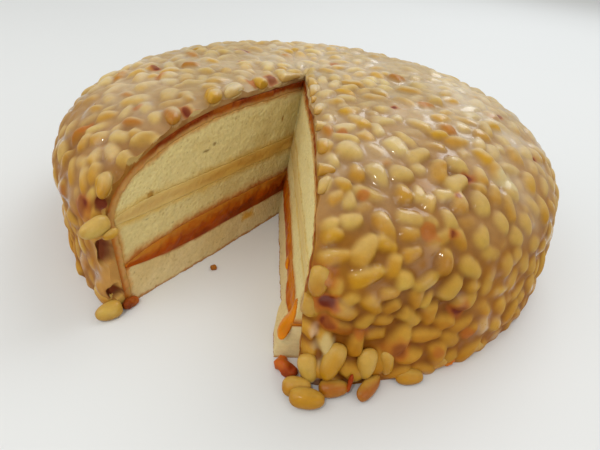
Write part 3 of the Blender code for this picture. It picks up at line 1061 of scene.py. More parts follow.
def nut_heights():
    """Height of the highest and the second nut over each grid point, and which nut is highest.

    A nut's height is its sunk middle plus its half height times the root of one less a power of
    the share along it and of the share across it, whose width tapers towards one end. A broken
    nut ends early, in a steep edge.
    """
    height = np.full(BASE.shape[:2], NO_NUT)
    second = np.full(BASE.shape[:2], NO_NUT)
    owner = np.full(BASE.shape[:2], -1)
    ring = np.hypot(BASE[:, 0, 0], BASE[:, 0, 1])
    for i in range(NUT_COUNT):
        away = np.hypot(ring - np.hypot(*NUT_MIDDLE[i, :2]), BASE[:, 0, 2] - NUT_MIDDLE[i, 2])
        rows = np.flatnonzero(away < NUT_HALF_LENGTH[i] + 8.0)
        if len(rows) == 0:
            continue
        band = slice(rows[0], rows[-1] + 1)
        offset = STIRRED[band] - NUT_MIDDLE[i]
        where = np.nonzero((offset**2).sum(-1) < (NUT_HALF_LENGTH[i] * 1.05) ** 2)
        offset = offset[where]
        along = offset @ NUT_LONG[i] / NUT_HALF_LENGTH[i]
        across = offset @ NUT_CROSS[i] / (NUT_HALF_WIDTH[i] * (1 - NUT_TAPERS[i] * along))
        inside = 1 - np.abs(along) ** NUT_BLUNT[i] - np.abs(across) ** NUT_BLUNT[i]
        inside = np.minimum(inside, (NUT_BROKEN[i] - along) * 3)
        rise = NUT_TALL[i] * (np.sqrt(np.maximum(inside, 0.0)) - NUT_SINK) + NUT_RISE[i]
        rise += NUT_TILT[i] * along * NUT_HALF_LENGTH[i]
        rise[inside <= 0] = NO_NUT
        spot = (where[0] + rows[0], where[1])
        old = height[spot]
        owner[spot] = np.where(rise > old, i, owner[spot])
        second[spot] = np.where(rise > old, old, np.maximum(second[spot], rise))
        height[spot] = np.maximum(old, rise)
    return height, second, owner


NUT_HEIGHT, SECOND_HEIGHT, NUT_OWNER = nut_heights()
print("grid:", BASE.shape[:2], "share of the icing under nuts:", round(float((NUT_HEIGHT > 0).mean()), 2))

# %% [markdown]
# The icing isn't level. It was poured over the middle and ran down, so at the back and left it is
# thick and lies in streaks, and at the front the nuts stand out of it. On the right side and its rim
# they have all but drowned, and one thick column ran down beside the left cut.

# %% Where the icing lies thick
def poured(points):
    """How much icing lies at a point, 0 to 1: more at the back, the left and the right rim."""
    lean = (points[..., 1] * 0.8 - points[..., 0] * 1.15 + 20) / 110
    high = np.maximum(ramp(points[..., 2], 25, 60), ramp(-points[..., 0], 60, 100))
    left = ramp(lean + 0.3 * noise(points, 45.0, 3), 0.0, 1.0) * high
    rim = 0.7 * ramp(points[..., 0], 82, 112) * ramp(points[..., 2], 22, 48) * ramp(points[..., 1], -60, 0)
    return np.maximum(left, rim)


def near_column(points):
    """1 on the thick column of icing that ran down beside the left cut, and 0 away from it."""
    along = face_place(points, "left")[..., 0]
    behind = behind_cut(points, LEFT_OUT)
    aside = np.exp(-((behind / 7.0) ** 2)) * ramp(along, 80.0, 98.0)
    return aside * ramp(points[..., 2], 1.0, 8.0) * (1 - ramp(points[..., 2], 28.0, 40.0))


def submerged(points):
    """1 where the nuts are all but drowned in icing: the right side and the rim above it."""
    x, y, z = points[..., 0], points[..., 1], points[..., 2]
    rim = ramp(x * 0.9 + y * 0.55 + z * 0.6, 50.0, 105.0)
    side = ramp(x + 0.2 * y, 30.0, 75.0)
    return np.clip(np.maximum(rim, side) + 0.35 * noise(points, 21.0, 18), 0.0, 1.0)


def broken_back(points):
    """How far icing and coat have broken away from the right cut's foot, where the sponge's side shows."""
    back = 0.17 * np.maximum(34.0 - points[..., 2], 0.0) * ramp(-points[..., 1], 40.0, 60.0)
    return back * np.exp(-((behind_cut(points, RIGHT_OUT) / 14.0) ** 2))


POURED = poured(BASE)
DROWNED = submerged(BASE)
COLUMN = near_column(BASE)
print("share of poured icing:", POURED.mean().round(2), "and of drowned nuts:", DROWNED.mean().round(2))

# %% [markdown]
# The level of the icing is a sum: a little more on top, gentle noise, some of the blurred height of
# the nuts below, the poured streaks, and patches of glaze that fill the gaps. Where a smoother copy of
# the surface lies higher than the surface itself lie the hollows between nuts, and these are painted
# darker later, partly for thicker glaze and partly as painted shade. Close to the cuts the icing is
# rounded off, low down it has sagged outwards, and at the foot of the right cut it has broken back.

# %% Height of the finished surface
TOPNESS = ramp(BASE[..., 2] + 0.12 * BASE[..., 1], 34.0, 66.0)
AROUND = np.arctan2(BASE[..., 1], BASE[..., 0])
ROWS_DOWN = np.broadcast_to(np.arange(DOME.count)[:, None] * 0.14, AROUND.shape)
STREAKS = np.stack([AROUND * 90, ROWS_DOWN], axis=-1)
DRAPED = relaxed(np.maximum(NUT_HEIGHT, 0.0), 14)
LEVEL = -0.35 + 0.62 * TOPNESS + 0.45 * noise(BASE, 17.0, 7) + 0.18 * noise(BASE, 5.0, 8) + 0.32 * DRAPED
LEVEL += POURED * (0.25 + 0.45 * noise(STREAKS, 4.0, 9) + 0.35 * ridges(BASE * (1, 1, 0.6), 7.0, 15))
LEVEL += (0.80 - 0.50 * TOPNESS) * DROWNED
COLUMNS = ramp(-0.9 * BASE[..., 0] - 0.3 * BASE[..., 1], 68.0, 100.0) * (1 - ramp(BASE[..., 2], 40.0, 60.0))
LEVEL += 0.5 * COLUMNS
GLAZED = ramp(noise(BASE, 19.0, 11) + 0.3 * noise(BASE, 6.0, 12), 0.1, 0.7)
LEVEL += 0.55 * GLAZED
LEVEL += (2.4 - LEVEL) * 0.85 * COLUMN
NUT_HEIGHT = NUT_HEIGHT + (0.20 * noise(BASE, 3.2, 13) + 0.10 * noise(BASE, 1.5, 14)) * (NUT_OWNER >= 0)
CREASE = np.exp(-(((NUT_HEIGHT - SECOND_HEIGHT) / 0.5) ** 2)) * ramp(SECOND_HEIGHT - LEVEL, -0.4, 0.4)
SURFACE = smooth_max(NUT_HEIGHT - 0.40 * CREASE, LEVEL, 1.3)
SURFACE = relaxed(SURFACE, 3)
SURFACE += (relaxed(SURFACE, 10) - SURFACE) * np.maximum(0.55 * POURED, 0.15 + 0.45 * GLAZED)
SURFACE += POURED * (0.16 * noise(BASE, 2.6, 16) + 0.10 * noise(BASE, 1.4, 17))
CREASE = relaxed(CREASE, 2)
WIDE = relaxed(SURFACE, 60)  # the surface without its nuts
# how deep the surface lies below its smoothed copy: the hollows between nuts, painted darker later as
# thicker glaze and painted shade
HOLLOW_GLAZE_AND_SHADE = np.clip((WIDE - SURFACE) / 1.3, 0.0, 1.0)
HOLLOW_GLAZE_AND_SHADE += 0.5 * np.clip((relaxed(SURFACE, 8) - SURFACE) / 0.30, 0.0, 1.0)
SURFACE = WIDE + (SURFACE - WIDE) * (0.85 - 0.30 * DROWNED - 0.35 * COLUMNS)
EDGE = np.maximum(outside_slice(BASE), 0.0)
SURFACE -= 1.9 * np.exp(-((EDGE / 2.0) ** 2)) * (1 + 0.5 * noise(BASE, 5.0, 10))
SURFACE += sagged(BASE)
SHELL = DOME.points(ICING_GROWTH, ANGLES, SURFACE)


def grid_normals(points):
    """Unit normals of a grid: the cross product of its steps down the rows and along the columns."""
    down = np.gradient(points, axis=0)
    along = np.gradient(points, axis=1)
    normal = np.cross(down, along)
    size = np.linalg.norm(normal, axis=-1, keepdims=True)
    return normal / np.maximum(size, 1e-9)


NORMALS = grid_normals(SHELL - RIGHT_OUT * broken_back(SHELL)[..., None])
print("icing surface from", SURFACE.min().round(2), "to", SURFACE.max().round(2), "mm off the solid's")

# %% [markdown]
# ## Spots on the icing
# Some spots can be told apart: dark jam that came up between the nuts, the orange halo of jam under
# thin icing, wet and milky places, and pits that were torn out of the left cut. Each is a ball, given
# by its middle and its radius, and whatever part of the icing lies in it takes its colour.

# %% Spots on the icing: x, y, height and radius
DARK_BITS = np.array((
    (47, -97, 51, 1.6), (10, -115, 34, 3.0), (10, -115, 26, 2.6), (54, -102, 26, 2.8),
    (35, -110, 15, 3.4), (55, -75, 60, 1.6), (49, -85, 57, 1.0), (91, -44, 56, 1.5),
    (81, -21, 63, 1.8), (90, -67, 45, 1.5), (-39, 26, 69, 3.2), (-20, -15, 69, 2.6),
    (-46, -57, 66, 1.9), (-41, -55, 67, 1.7), (32, -39, 69, 1.6), (-73, -10, 66, 1.9),
    (-74, -88, 40, 3.8), (60, 70, 66, 2.5), (-60, 60, 66, 2.5),
    (105, 40, 45, 2.5), (-100, 30, 50, 2.5), (10, 100, 58, 2.5), (-40, 108, 40, 2.5),
))
ORANGE_BITS = np.array((
    (8, -113, 42, 5.0), (9, -115, 34, 5.0), (18, -93, 59, 2.2), (39, -99, 52, 3.2), (58, -99, 15, 2.8),
    (48, -104, 11, 2.6), (22, -113, 22, 2.6), (86, -77, 13, 3.2), (9, 19, 69, 2.8), (11, -66, 67, 2.4),
    (-27, -24, 69, 2.6), (-66, -24, 66, 2.8), (-84, -58, 55, 3.0), (-65, -53, 63, 2.2),
    (-36, 6, 69, 2.4), (50, 75, 68, 3.0), (95, 30, 60, 3.0), (-80, 50, 62, 3.0), (0, 112, 45, 3.0),
))
TORN_PITS = np.array((
    (-66.2, -92.5, 45, 4.0), (-67.4, -94.3, 44, 3.4), (-66.6, -95.0, 29, 3.5), (-66.4, -95.4, 25, 3.4),
    (-65.2, -95.7, 8.5, 3.3),
))
PINK_BITS = np.array(((-67.2, -96.0, 21, 2.2), (-67.0, -97.0, 17, 2.0), (6, -117, 22, 3.0)))
WET_BITS = np.array((
    (30, -92, 56, 7.0), (24, -96, 53, 5.0), (36, -90, 56, 6.0), (24, -108, 38, 6.0), (20, -108, 42, 5.0),
    (60, -50, 65, 7.0), (14, -111, 33, 5.0),
))
MILKY_BITS = np.array(((10, -117, 17, 4.5), (11, -117, 12, 4.0), (70, -70, 59, 5.0)))
HALO_GROWTH = np.array((1, 1, 1, 1.5))  # the halo round a dark bit is half as large again


def near_bits(points, bits, seed):
    """1 at the middle of the nearest bit and 0 outside it, with a ragged edge."""
    ragged = 1 + 0.35 * noise(points, 2.5, seed)
    found = np.zeros(points.shape[:-1])
    for x, y, z, size in bits:
        away = np.linalg.norm(points - (x, y, z), axis=-1) * ragged / size
        found = np.maximum(found, 1 - ramp(away, 0.55, 1.15))
    return found


def torn(points):
    """1 in the pits that were torn out of the left cut."""
    return near_bits(points, TORN_PITS, 33)


print("dark spots:", len(DARK_BITS), "and orange ones:", len(ORANGE_BITS))

# %% [markdown]
# ## Painting the icing
# The paint follows what each point is made of. A nut shows its own colour where it stands well
# clear, under a white film that is thickest where it looks up, and painted light makes the sides that
# face up and back, towards the lamp behind, paler still. Between the nuts the icing is pinkish beige on
# top and browner low down at the front, and it is darkest in the hollows, partly from thicker glaze and
# partly as painted shade. The right rim is pale glaze with streaks of painted sheen. Over that come the
# large patches, the darker, browner foot, which is partly painted shade, and last the spots.

# %% Paint the icing
POOL_TOP = colour(182, 161, 126)
POOL_LOW = colour(158, 104, 18)
# the POOL colours are the glaze; the two after them are darker glaze and painted shade, for the hollows and
# creases between nuts and the undersides of nuts
HOLLOW_GLAZE_AND_SHADE_TOP = colour(142, 100, 52)
HOLLOW_GLAZE_AND_SHADE_LOW = colour(110, 60, 8)
COLUMN_PAINT = colour(190, 144, 78)
RIM_FILM_AND_SHEEN = colour(216, 203, 180)
JAM_SPOT = colour(104, 30, 8)
JAM_HALO = colour(172, 96, 26)
PINK = colour(214, 182, 150)
MILKY = colour(206, 192, 140)
# shades that a colour is multiplied by
WHITE = np.ones(3)
WARMTH = np.array((0.84, 0.70, 0.28))
FOOT_SHADE = np.array((0.92, 0.77, 0.45))
PATCH_SHADE = np.array((0.91, 0.87, 0.76))
HALO_SHADE = (1, 0.8, 0.8)
# painted light: film-covered sides that face this way, up and back towards the lamp behind, are painted
# paler
POURED_AND_LIT_FROM = np.array((0.06, 0.70, 0.71))  # the way that the film-covered sides of nuts look


def lowness(points):
    """0 on top and at the back, 1 low down at the front, where the icing is thick and brown."""
    return ramp(70 - points[..., 2] - points[..., 1] * 0.25, 0.0, 62.0)


def footness(points):
    """1 round the foot at the front, less at the right, 0 higher up and at the back."""
    foot = ramp(48 - points[..., 2] - points[..., 1] * 0.10, 6.0, 50.0)
    return foot * (1 - 0.5 * ramp(points[..., 0], 55.0, 105.0))


def paint_nuts(points, normals, base_normals, owner):
    """A nut's own colour under a white film, thick where it looks up, thin where it leans away, and painted
    light: paler where it faces up and back, towards the lamp behind.
    """
    low = lowness(points)
    steep = ramp(1 - (normals * base_normals).sum(-1), 0.03, 0.40)
    nut = blend(NUT_PAINT[owner], NUT_SIDE, 0.5 * steep) * blend(WHITE, WARMTH, low)
    # the film is partly real and partly painted light, paler on sides that face up and back
    film = 0.62 - 0.30 * low + 1.4 * ((normals - base_normals) @ POURED_AND_LIT_FROM)
    film += 0.22 * noise(points, 7.0, 42) + 0.16 * noise(points, 2.6, 50) - 0.45 * (NUT_BARE[owner] - 0.5)
    film = 0.95 * ramp(film + 0.25 * poured(points) + 0.38 * submerged(points), 0.10, 0.95)
    return blend(nut, blend(FILM_TOP, FILM_LOW, low), film)


def paint_icing(points, normals, base_normals, nut_height, owner, level, hollow_glaze_and_shade):
    """Colour and shine of each point."""
    stands = ramp(nut_height - level, -0.2, 1.1) * (owner >= 0)
    low = lowness(points)
    pool = blend(POOL_TOP, POOL_LOW, np.clip(low**0.7 + 0.25 * noise(points, 12.0, 41), 0, 1))
    rim = submerged(points) * ramp(points[..., 2], 34.0, 52.0)
    # pale glaze on the right rim, with streaks of painted sheen
    sheen_streak = ramp(noise(points * (1, 1, 0.7), 11.0, 52) + 0.4 * noise(points, 4.0, 58), -0.1, 0.8)
    pool = blend(pool, RIM_FILM_AND_SHEEN, rim * (0.08 + 0.34 * sheen_streak))
    nut = paint_nuts(points, normals, base_normals, np.maximum(owner, 0))
    shade = blend(pool, nut, stands)
    # painted shade, with thicker glaze, in the hollows and creases between nuts; less of it on the glazed
    # rim
    hollow_glaze_and_shade = np.clip(hollow_glaze_and_shade * (0.56 + 0.14 * low) * (1 - 0.5 * rim), 0, 0.9)
    shade = blend(shade, blend(HOLLOW_GLAZE_AND_SHADE_TOP, HOLLOW_GLAZE_AND_SHADE_LOW, low), hollow_glaze_and_shade)
    patch = ramp(noise(points, 23.0, 53) + 0.5 * noise(points, 10.0, 54), -0.7, 0.9)[..., None]
    shade = shade * (PATCH_SHADE + (1 - PATCH_SHADE) * 2 * patch)
    shade = np.stack([relaxed(shade[..., k], 4) for k in range(3)], axis=-1)
    # darker and browner low at the front and the foot: partly painted shade, partly browner icing
    shade = shade * blend(WHITE, FOOT_SHADE, footness(points))
    shade = blend(shade, COLUMN_PAINT, 0.8 * near_column(points))
    shade = blend(shade, MILKY, 0.6 * near_bits(points, MILKY_BITS, 48))
    shade = blend(shade, PINK, 0.7 * near_bits(points, PINK_BITS, 44))
    shade = blend(shade, JAM_HALO, 0.75 * near_bits(points, ORANGE_BITS, 46))
    shade = blend(shade, JAM_HALO * HALO_SHADE, 0.6 * near_bits(points, DARK_BITS * HALO_GROWTH, 47))
    shade = blend(shade, JAM_SPOT, 0.9 * torn(points))
    shade = blend(shade, JAM_SPOT, (0.95 - 0.35 * stands) * near_bits(points, DARK_BITS, 47))
    wet = ramp(0.8 * noise(points, 8.0, 45) + 0.6 * noise(points, 3.2, 49), 0.0, 0.8)
    wet = np.maximum(wet, 0.9 * near_bits(points, WET_BITS, 43))
    return shade, wet


BASE_NORMALS = grid_normals(BASE)
# hollows and creases between nuts are painted darker: thicker glaze and painted shade
SHELL_PAINT, SHELL_SHINE = paint_icing(
    BASE, NORMALS, BASE_NORMALS, NUT_HEIGHT, NUT_OWNER, LEVEL, HOLLOW_GLAZE_AND_SHADE + 0.7 * CREASE
)
SHELL_SHINE *= ramp(EDGE, 0.5, 4.0)
print("mean paint of the icing:", SHELL_PAINT.mean((0, 1)).round(3))

# %% [markdown]
# ## The icing at the cuts
# On a cut the icing shows its thickness. The knife has pushed it over the edge here and there, and
# pits were torn out of the left side, so points near a cut are moved out over it or back. The wall
# between skin and sponge is a fine grid, and a point there is painted as nut where it falls inside a
# nut's egg shape, and as jam in a ragged seam along the sponge.

# %% The icing's broken edge
WALL_STEPS = 9
WALL_DEPTH = 6.4  # thickness of the wall, in mm
SEAM_FADE = (-0.4, 0.7)


def push_over(points, face):
    """Moves points near a cut out over it, or back from it, by up to a millimetre or so."""
    behind = np.maximum(behind_cut(points, FACES[face]), 0.0)
    place = face_place(points, face)
    push = (0.1 + 0.6 * noise(points, 6.0, 31)) * ramp(points[..., 2], 0.2, 4.0)
    push = push * np.exp(-((behind / 2.5) ** 2))
    push = push + cut_wobble(place[..., 0], place[..., 1], face, 0.0) * np.exp(-((behind / 4.0) ** 2))
    if face == "left":
        push = push - 3.0 * torn(points) * np.exp(-((behind / 3.0) ** 2))
    return FACES[face] * push[..., None]


def inside_nut(points):
    """Which nut each point lies in, or -1: the shares along, across and up must square to under 1."""
    found = np.full(points.shape[:-1], -1)
    for i in range(NUT_COUNT):
        offset = points - (NUT_MIDDLE[i] + NUT_NORMAL[i] * (NUT_RISE[i] - NUT_TALL[i] * NUT_SINK))
        along = offset @ NUT_LONG[i] / NUT_HALF_LENGTH[i]
        across = offset @ NUT_CROSS[i] / NUT_HALF_WIDTH[i]
        up = offset @ NUT_NORMAL[i] / NUT_TALL[i]
        found[along**2 + across**2 + up**2 < 1] = i
    return found


def paint_wall(wall, face):
    """Colours of the icing's edge on a cut, whose columns run between the sponge and the skin."""
    nut = inside_nut(wall)
    pool = blend(POOL_TOP, POOL_LOW, 0.5 + 0.5 * lowness(wall))
    pool = blend(pool, HOLLOW_GLAZE_AND_SHADE_TOP, ramp(noise(wall, 4.0, 51), -0.2, 0.9))
    cream = blend(NUT_PAINT[np.maximum(nut, 0)], FILM_TOP, 0.5)
    paint = np.where((nut >= 0)[..., None], cream, pool) * blend(WHITE, WARMTH, lowness(wall))
    depth = np.linspace(0.0, WALL_DEPTH, wall.shape[1])[None, :]
    depth = depth if face == "right" else depth[:, ::-1]
    thick = 0.1 + 2.2 * ramp(noise(wall, 9.0, 55) + 0.4 * noise(wall, 3.0, 56), -0.1, 0.9)
    seam_paint = blend(JAM_HALO, JAM_SPOT, ramp(noise(wall, 7.0, 57), -0.5, 0.4))
    paint = blend(paint, seam_paint, 0.85 * (1 - ramp(depth - thick, *SEAM_FADE)))
    if face == "left":
        paint = blend(paint, COLUMN_PAINT, 0.8 * near_column(wall))
    paint = blend(paint, PINK, 0.7 * near_bits(wall, PINK_BITS, 44))
    return blend(paint, JAM_SPOT, 0.9 * torn(wall))


print("steps through the icing's edge:", WALL_STEPS)

# %% [markdown]
# ## The icing in four sectors
# The whole skin would be one mesh of half a million faces, so it is made in four sectors, each a
# closed solid from the jam coat to the surface. They share their normals where they meet, so that
# no seam shows. The hidden inner surface has one ray for every twelve outside, and fans of
# triangles close the foot between the two.

# %% Icing in four sectors
INNER_GROWTH = (COAT_GROWTH[0] + THIN_GAP, COAT_GROWTH[1] + THIN_GAP)
SECTOR_NAMES = ("front_right", "back_right", "back_left", "front_left")
NEAR_A_CUT = 10.0  # the knife moved nothing further away than this


def fan_foot(index):
    """Triangles that close the foot between the fine outer and the coarse inner ring."""
    outer, inner = index["high"][-1], index["low"][-1][::-1]
    cells = len(inner) - 1
    fine = outer[:-1].reshape(cells, BACKBONE)
    after = outer[1:].reshape(cells, BACKBONE)
    near = np.repeat(inner[:-1, None], BACKBONE, axis=1)
    fan = np.stack([near, after, fine], axis=-1).reshape(-1, 3)
    close = np.stack([inner[:-1], inner[1:], outer[BACKBONE::BACKBONE]], axis=-1)
    return np.concatenate([fan, close])


def icing_sector(name, first, last):
    """One sector of the icing, between two columns of the whole grid."""
    high = SHELL[:, first:last + 1]
    low = DOME.points(INNER_GROWTH, ANGLES[first:last + 1:BACKBONE])
    grids = between(low, high[:, ::BACKBONE], WALL_STEPS)
    grids = {"high": high, **{side: grids[side] for side in ("low", "right", "left")}}
    skin = Skin(grids, [fan_foot])
    outer = skin.index["high"]
    skin.colour[:] = POOL_LOW
    for face, on_cut in (("right", first == 0), ("left", last == len(ANGLES) - 1)):
        if on_cut:
            where = skin.index[face]
            skin.colour[where] = paint_wall(skin.points[where], face)
    skin.colour[outer] = SHELL_PAINT[:, first:last + 1]
    skin.shine[outer] = SHELL_SHINE[:, first:last + 1]
    shift = np.zeros_like(skin.points)
    for face, out in FACES.items():
        near = np.abs(behind_cut(skin.points, out)) < NEAR_A_CUT
        near &= outside_slice(skin.points) < NEAR_A_CUT
        shift[near] += push_over(skin.points[near], face)
    shift[np.unique(skin.index["low"])] = 0.0
    shift -= RIGHT_OUT * broken_back(skin.points)[:, None]
    skin.points += shift
    normals = (outer.ravel(), NORMALS[:, first:last + 1].reshape(-1, 3))
    add_piece(f"icing_{name}", skin, ICING, ["nut_icing"], normals)


starts = np.cumsum((0, *SECTOR_COLUMNS))
for name, first, last in zip(SECTOR_NAMES, starts[:-1], starts[1:]):
    icing_sector(name, first, last)

# %% [markdown]
# ## Whole nuts
# A knife pushes pine nuts aside, so whole nuts hang over the cut edges. Each is made again as a
# closed shape, squashed where it sticks out. The right edge keeps all that cross it and the left only
# a few, and none hang at the torn feet, from which they fell.

# %% Shape of a whole nut
NUT_RINGS = 15
NUT_TURNS = 14
NUT_BLUNTNESS = 2.5
NUT_SHRUNK = 0.98  # keeps a whole nut just inside the skin that runs over it
NUT_UNDERSIDE = 0.6


def nut_grid(i):
    """Points of a nut, rings along it by turns around it, and their outward normals."""
    ring = np.linspace(0.0, math.pi, NUT_RINGS)[:, None]
    turn = np.linspace(0.0, math.tau, NUT_TURNS + 1)[None, :]
    along = np.cos(ring)
    thick = (1 - np.abs(along) ** NUT_BLUNTNESS) ** (1 / NUT_BLUNTNESS)
    across = thick * np.cos(turn)
    up = thick * np.sin(turn)
    up = np.where(up < 0, up * NUT_UNDERSIDE, up)
    middle = NUT_MIDDLE[i] + NUT_NORMAL[i] * (NUT_RISE[i] - NUT_SINK * NUT_TALL[i])
    size = NUT_HALF_WIDTH[i] * (1 - NUT_TAPERS[i] * along) * NUT_SHRUNK
    lift = up * NUT_TALL[i] * NUT_SHRUNK + NUT_TILT[i] * along * NUT_HALF_LENGTH[i]
    points = middle + (along * NUT_HALF_LENGTH[i] + 0 * turn)[..., None] * NUT_LONG[i]
    points += (across * size)[..., None] * NUT_CROSS[i]
    points += lift[..., None] * NUT_NORMAL[i]
    outward = across[..., None] / size[..., None] * NUT_CROSS[i]
    outward = outward + up[..., None] / NUT_TALL[i] * NUT_NORMAL[i]
    outward = outward + (along / NUT_HALF_LENGTH[i] + 0 * turn)[..., None] * NUT_LONG[i]
    return points, outward / np.linalg.norm(outward, axis=-1, keepdims=True)


print("a whole nut:", NUT_RINGS, "rings of", NUT_TURNS, "points")

# %% Nuts over the cuts
OVERHANG = {"left": 1.6, "right": 0.5}  # about how far nuts stick out of each cut
SQUASHED_TO = 9.0  # points further out than this belong to nuts behind the other cut
LEFT_KEPT = 0.08  # share of the nuts on the left cut that the knife left whole
APEX_CLEAR = 7.0
BETWEEN_CUTS = -30.0  # further right than this lies the right foot, and further left the left one
TORN_HEIGHTS = {"left": 49.0, "right": 26.0}
TORN_FROM = 80.0
STICKS_OUT = 0.4
NUT_SHINE = 0.4


def squashed(points):
    """Points out of a cut come nearer, by a hyperbolic tangent that ends at the overhang."""
    for face, out in FACES.items():
        over = -behind_cut(points, out)
        inside = (over > 0) & (over < SQUASHED_TO)
        less = over - OVERHANG[face] * np.tanh(over / OVERHANG[face])
        points = points - out * (less * inside)[..., None]
    return points


def whole_nuts(name, numbers, on_cake):
    """One mesh of closed nuts, squashed at the cuts if on the cake, with painted shade on their undersides
    and at the foot, fuller if on the cake.
    """
    grids, paints = {}, {}
    for i in numbers:
        points, outward = nut_grid(i)
        if on_cake:
            points = squashed(points)
        points = points + outward * (0.18 * noise(points, 3.0, 71))[..., None]
        points[..., 2] = np.maximum(points[..., 2], 0.03)
        owner = np.full(points.shape[:2], i)
        paint = paint_nuts(points, outward, np.broadcast_to(NUT_NORMAL[i], points.shape), owner)
        low = lowness(points)
        # painted shade low at the front and the foot, partly browner nuts
        paint = paint * blend(WHITE, FOOT_SHADE, footness(points) * (1.0 if on_cake else 0.4))
        if not on_cake:
            paint = paint / blend(WHITE, WARMTH, 0.5 * low)
        # painted shade on the underside of each whole nut
        under = ramp(-(outward @ NUT_NORMAL[i]), -0.3, 0.6)
        paints[i] = blend(paint, blend(HOLLOW_GLAZE_AND_SHADE_TOP, HOLLOW_GLAZE_AND_SHADE_LOW, low), 0.5 * under)
        grids[i] = points
    skin = Skin(grids)
    for i in numbers:
        skin.colour[skin.index[i]] = paints[i]
        skin.shine[skin.index[i]] = NUT_SHINE
    add_piece(name, skin, ICING, ["nut_icing"])


def crossing_nuts():
    """Numbers of the nuts that stick out of a cut face, away from the apex and from the torn feet."""
    found = []
    kept = np.random.default_rng(31).random(NUT_COUNT) < LEFT_KEPT
    kept[:SEEN] = True
    for i in range(NUT_COUNT):
        x, y, z = NUT_MIDDLE[i]
        torn_up_to = TORN_HEIGHTS["right" if x > BETWEEN_CUTS else "left"]
        fell = z < torn_up_to and math.hypot(x, y) > TORN_FROM
        if math.hypot(x - APEX_TOP[0], y - APEX_TOP[1]) < APEX_CLEAR or fell:
            continue
        at_left = abs(behind_cut(NUT_MIDDLE[i], LEFT_OUT)) < abs(behind_cut(NUT_MIDDLE[i], RIGHT_OUT))
        points, _ = nut_grid(i)
        if outside_slice(points).min() < -STICKS_OUT and (kept[i] or not at_left):
            found.append(i)
    return found


whole_nuts("nuts_over_the_cuts", crossing_nuts(), True)

# %% [markdown]
# ## Loose nuts
# Nuts that fell lie round the feet of both cuts or lean against them, and two cling to the left one.
# Their places are rough readings too, then corrected. They join the arrays of the other nuts, so
# the same functions shape and paint them, darker and more toasted, as no icing has run over them.

# %% Loose nuts
# middle, long way, outward, half length, half width, and tone: -1 pale, 0 yellow, 1 toasted
LOOSE_NUTS = (
    ((15.0, -118.6, 11.4), (-0.3, -0.3, -0.9), (0.1, -0.9, 0.35), 6.9, 3.7, 0.05),
    ((26.7, -116.4, 9.6), (0.0, -0.2, -0.97), (0.2, -0.95, 0.15), 6.2, 3.5, -0.6),
    ((7.6, -118.9, 7.4), (0.27, 0.0, -0.96), (0.0, -1.0, 0.2), 5.6, 3.4, -1.0),
    ((33.6, -114.0, 8.4), (0.16, 0.0, -0.98), (0.3, -0.95, 0.1), 5.6, 2.8, 0.1),
    ((4.3, -123.0, 3.3), (1.0, 0.12, 0.0), (0.0, -0.6, 0.8), 4.8, 3.2, 0.2),
    ((8.0, -126.7, 3.3), (1.0, -0.04, 0.0), (0.0, -0.3, 0.95), 5.8, 3.5, 0.0),
    ((16.4, -121.8, 2.9), (1.0, 0.17, 0.0), (0.0, -0.4, 0.9), 4.9, 3.1, 0.8),
    ((28.5, -120.0, 2.8), (0.61, 0.79, 0.0), (0.5, -0.4, 0.8), 6.1, 2.7, 0.9),
    ((42.6, -113.9, 2.8), (1.0, 0.07, 0.0), (0.1, -0.5, 0.85), 5.1, 3.0, 0.1),
    ((53.2, -106.7, 3.2), (0.9, 0.45, 0.0), (0.45, -0.9, 0.1), 5.8, 3.4, 0.3),
    ((70.0, -96.4, 3.2), (0.81, 0.59, 0.0), (0.59, -0.81, 0.1), 6.0, 3.5, 0.1),
    ((-71.7, -91.7, 3.4), (-0.79, 0.62, 0.0), (-0.62, -0.79, 0.1), 6.4, 3.9, 0.3),
    ((-66.9, -99.2, 3.0), (-0.75, -0.66, 0.0), (0.3, -0.5, 0.81), 4.9, 3.5, -1.0),
    ((-66.7, -96.5, 38.4), (-0.555, -0.832, -0.05), (0.832, -0.555, 0.0), 5.4, 3.7, -1.0),
    ((-62.9, -94.8, 35.2), (-0.555, -0.832, 0.0), (0.832, -0.555, 0.0), 3.0, 1.9, 0.0),
)


def joined(array, more):
    """An array with the loose nuts' values after the others', or the same value for all of them."""
    more = np.full((len(LOOSE_NUTS),), more) if np.ndim(more) == 0 else more
    return np.concatenate([array, more])


middle, long_way, normal = (np.array([nut[k] for nut in LOOSE_NUTS]) for k in range(3))
length, width, tone = (np.array([nut[k] for nut in LOOSE_NUTS]) for k in range(3, 6))
normal /= np.linalg.norm(normal, axis=1, keepdims=True)
long_way -= normal * (normal * long_way).sum(1, keepdims=True)
long_way /= np.linalg.norm(long_way, axis=1, keepdims=True)
paint = blend(YELLOW_NUT, TOASTED_NUT * (1.0, 0.8, 0.6), np.maximum(tone, 0))
NUT_MIDDLE = joined(NUT_MIDDLE, middle)
NUT_NORMAL = joined(NUT_NORMAL, normal)
NUT_LONG = joined(NUT_LONG, long_way)
NUT_CROSS = joined(NUT_CROSS, np.cross(normal, long_way))
NUT_PAINT = joined(NUT_PAINT, blend(paint, PALE_NUT, np.maximum(-tone, 0)))
NUT_HALF_WIDTH = joined(NUT_HALF_WIDTH, width)
NUT_HALF_LENGTH = joined(NUT_HALF_LENGTH, length)
NUT_TALL = joined(NUT_TALL, width * NUT_FLATNESS)
NUT_BARE = joined(NUT_BARE, 0.8)
NUT_RISE = joined(NUT_RISE, 0.0)
NUT_TILT = joined(NUT_TILT, 0.0)
NUT_TAPERS = joined(NUT_TAPERS, 0.15)
whole_nuts("loose_nuts", range(NUT_COUNT, len(NUT_MIDDLE)), False)

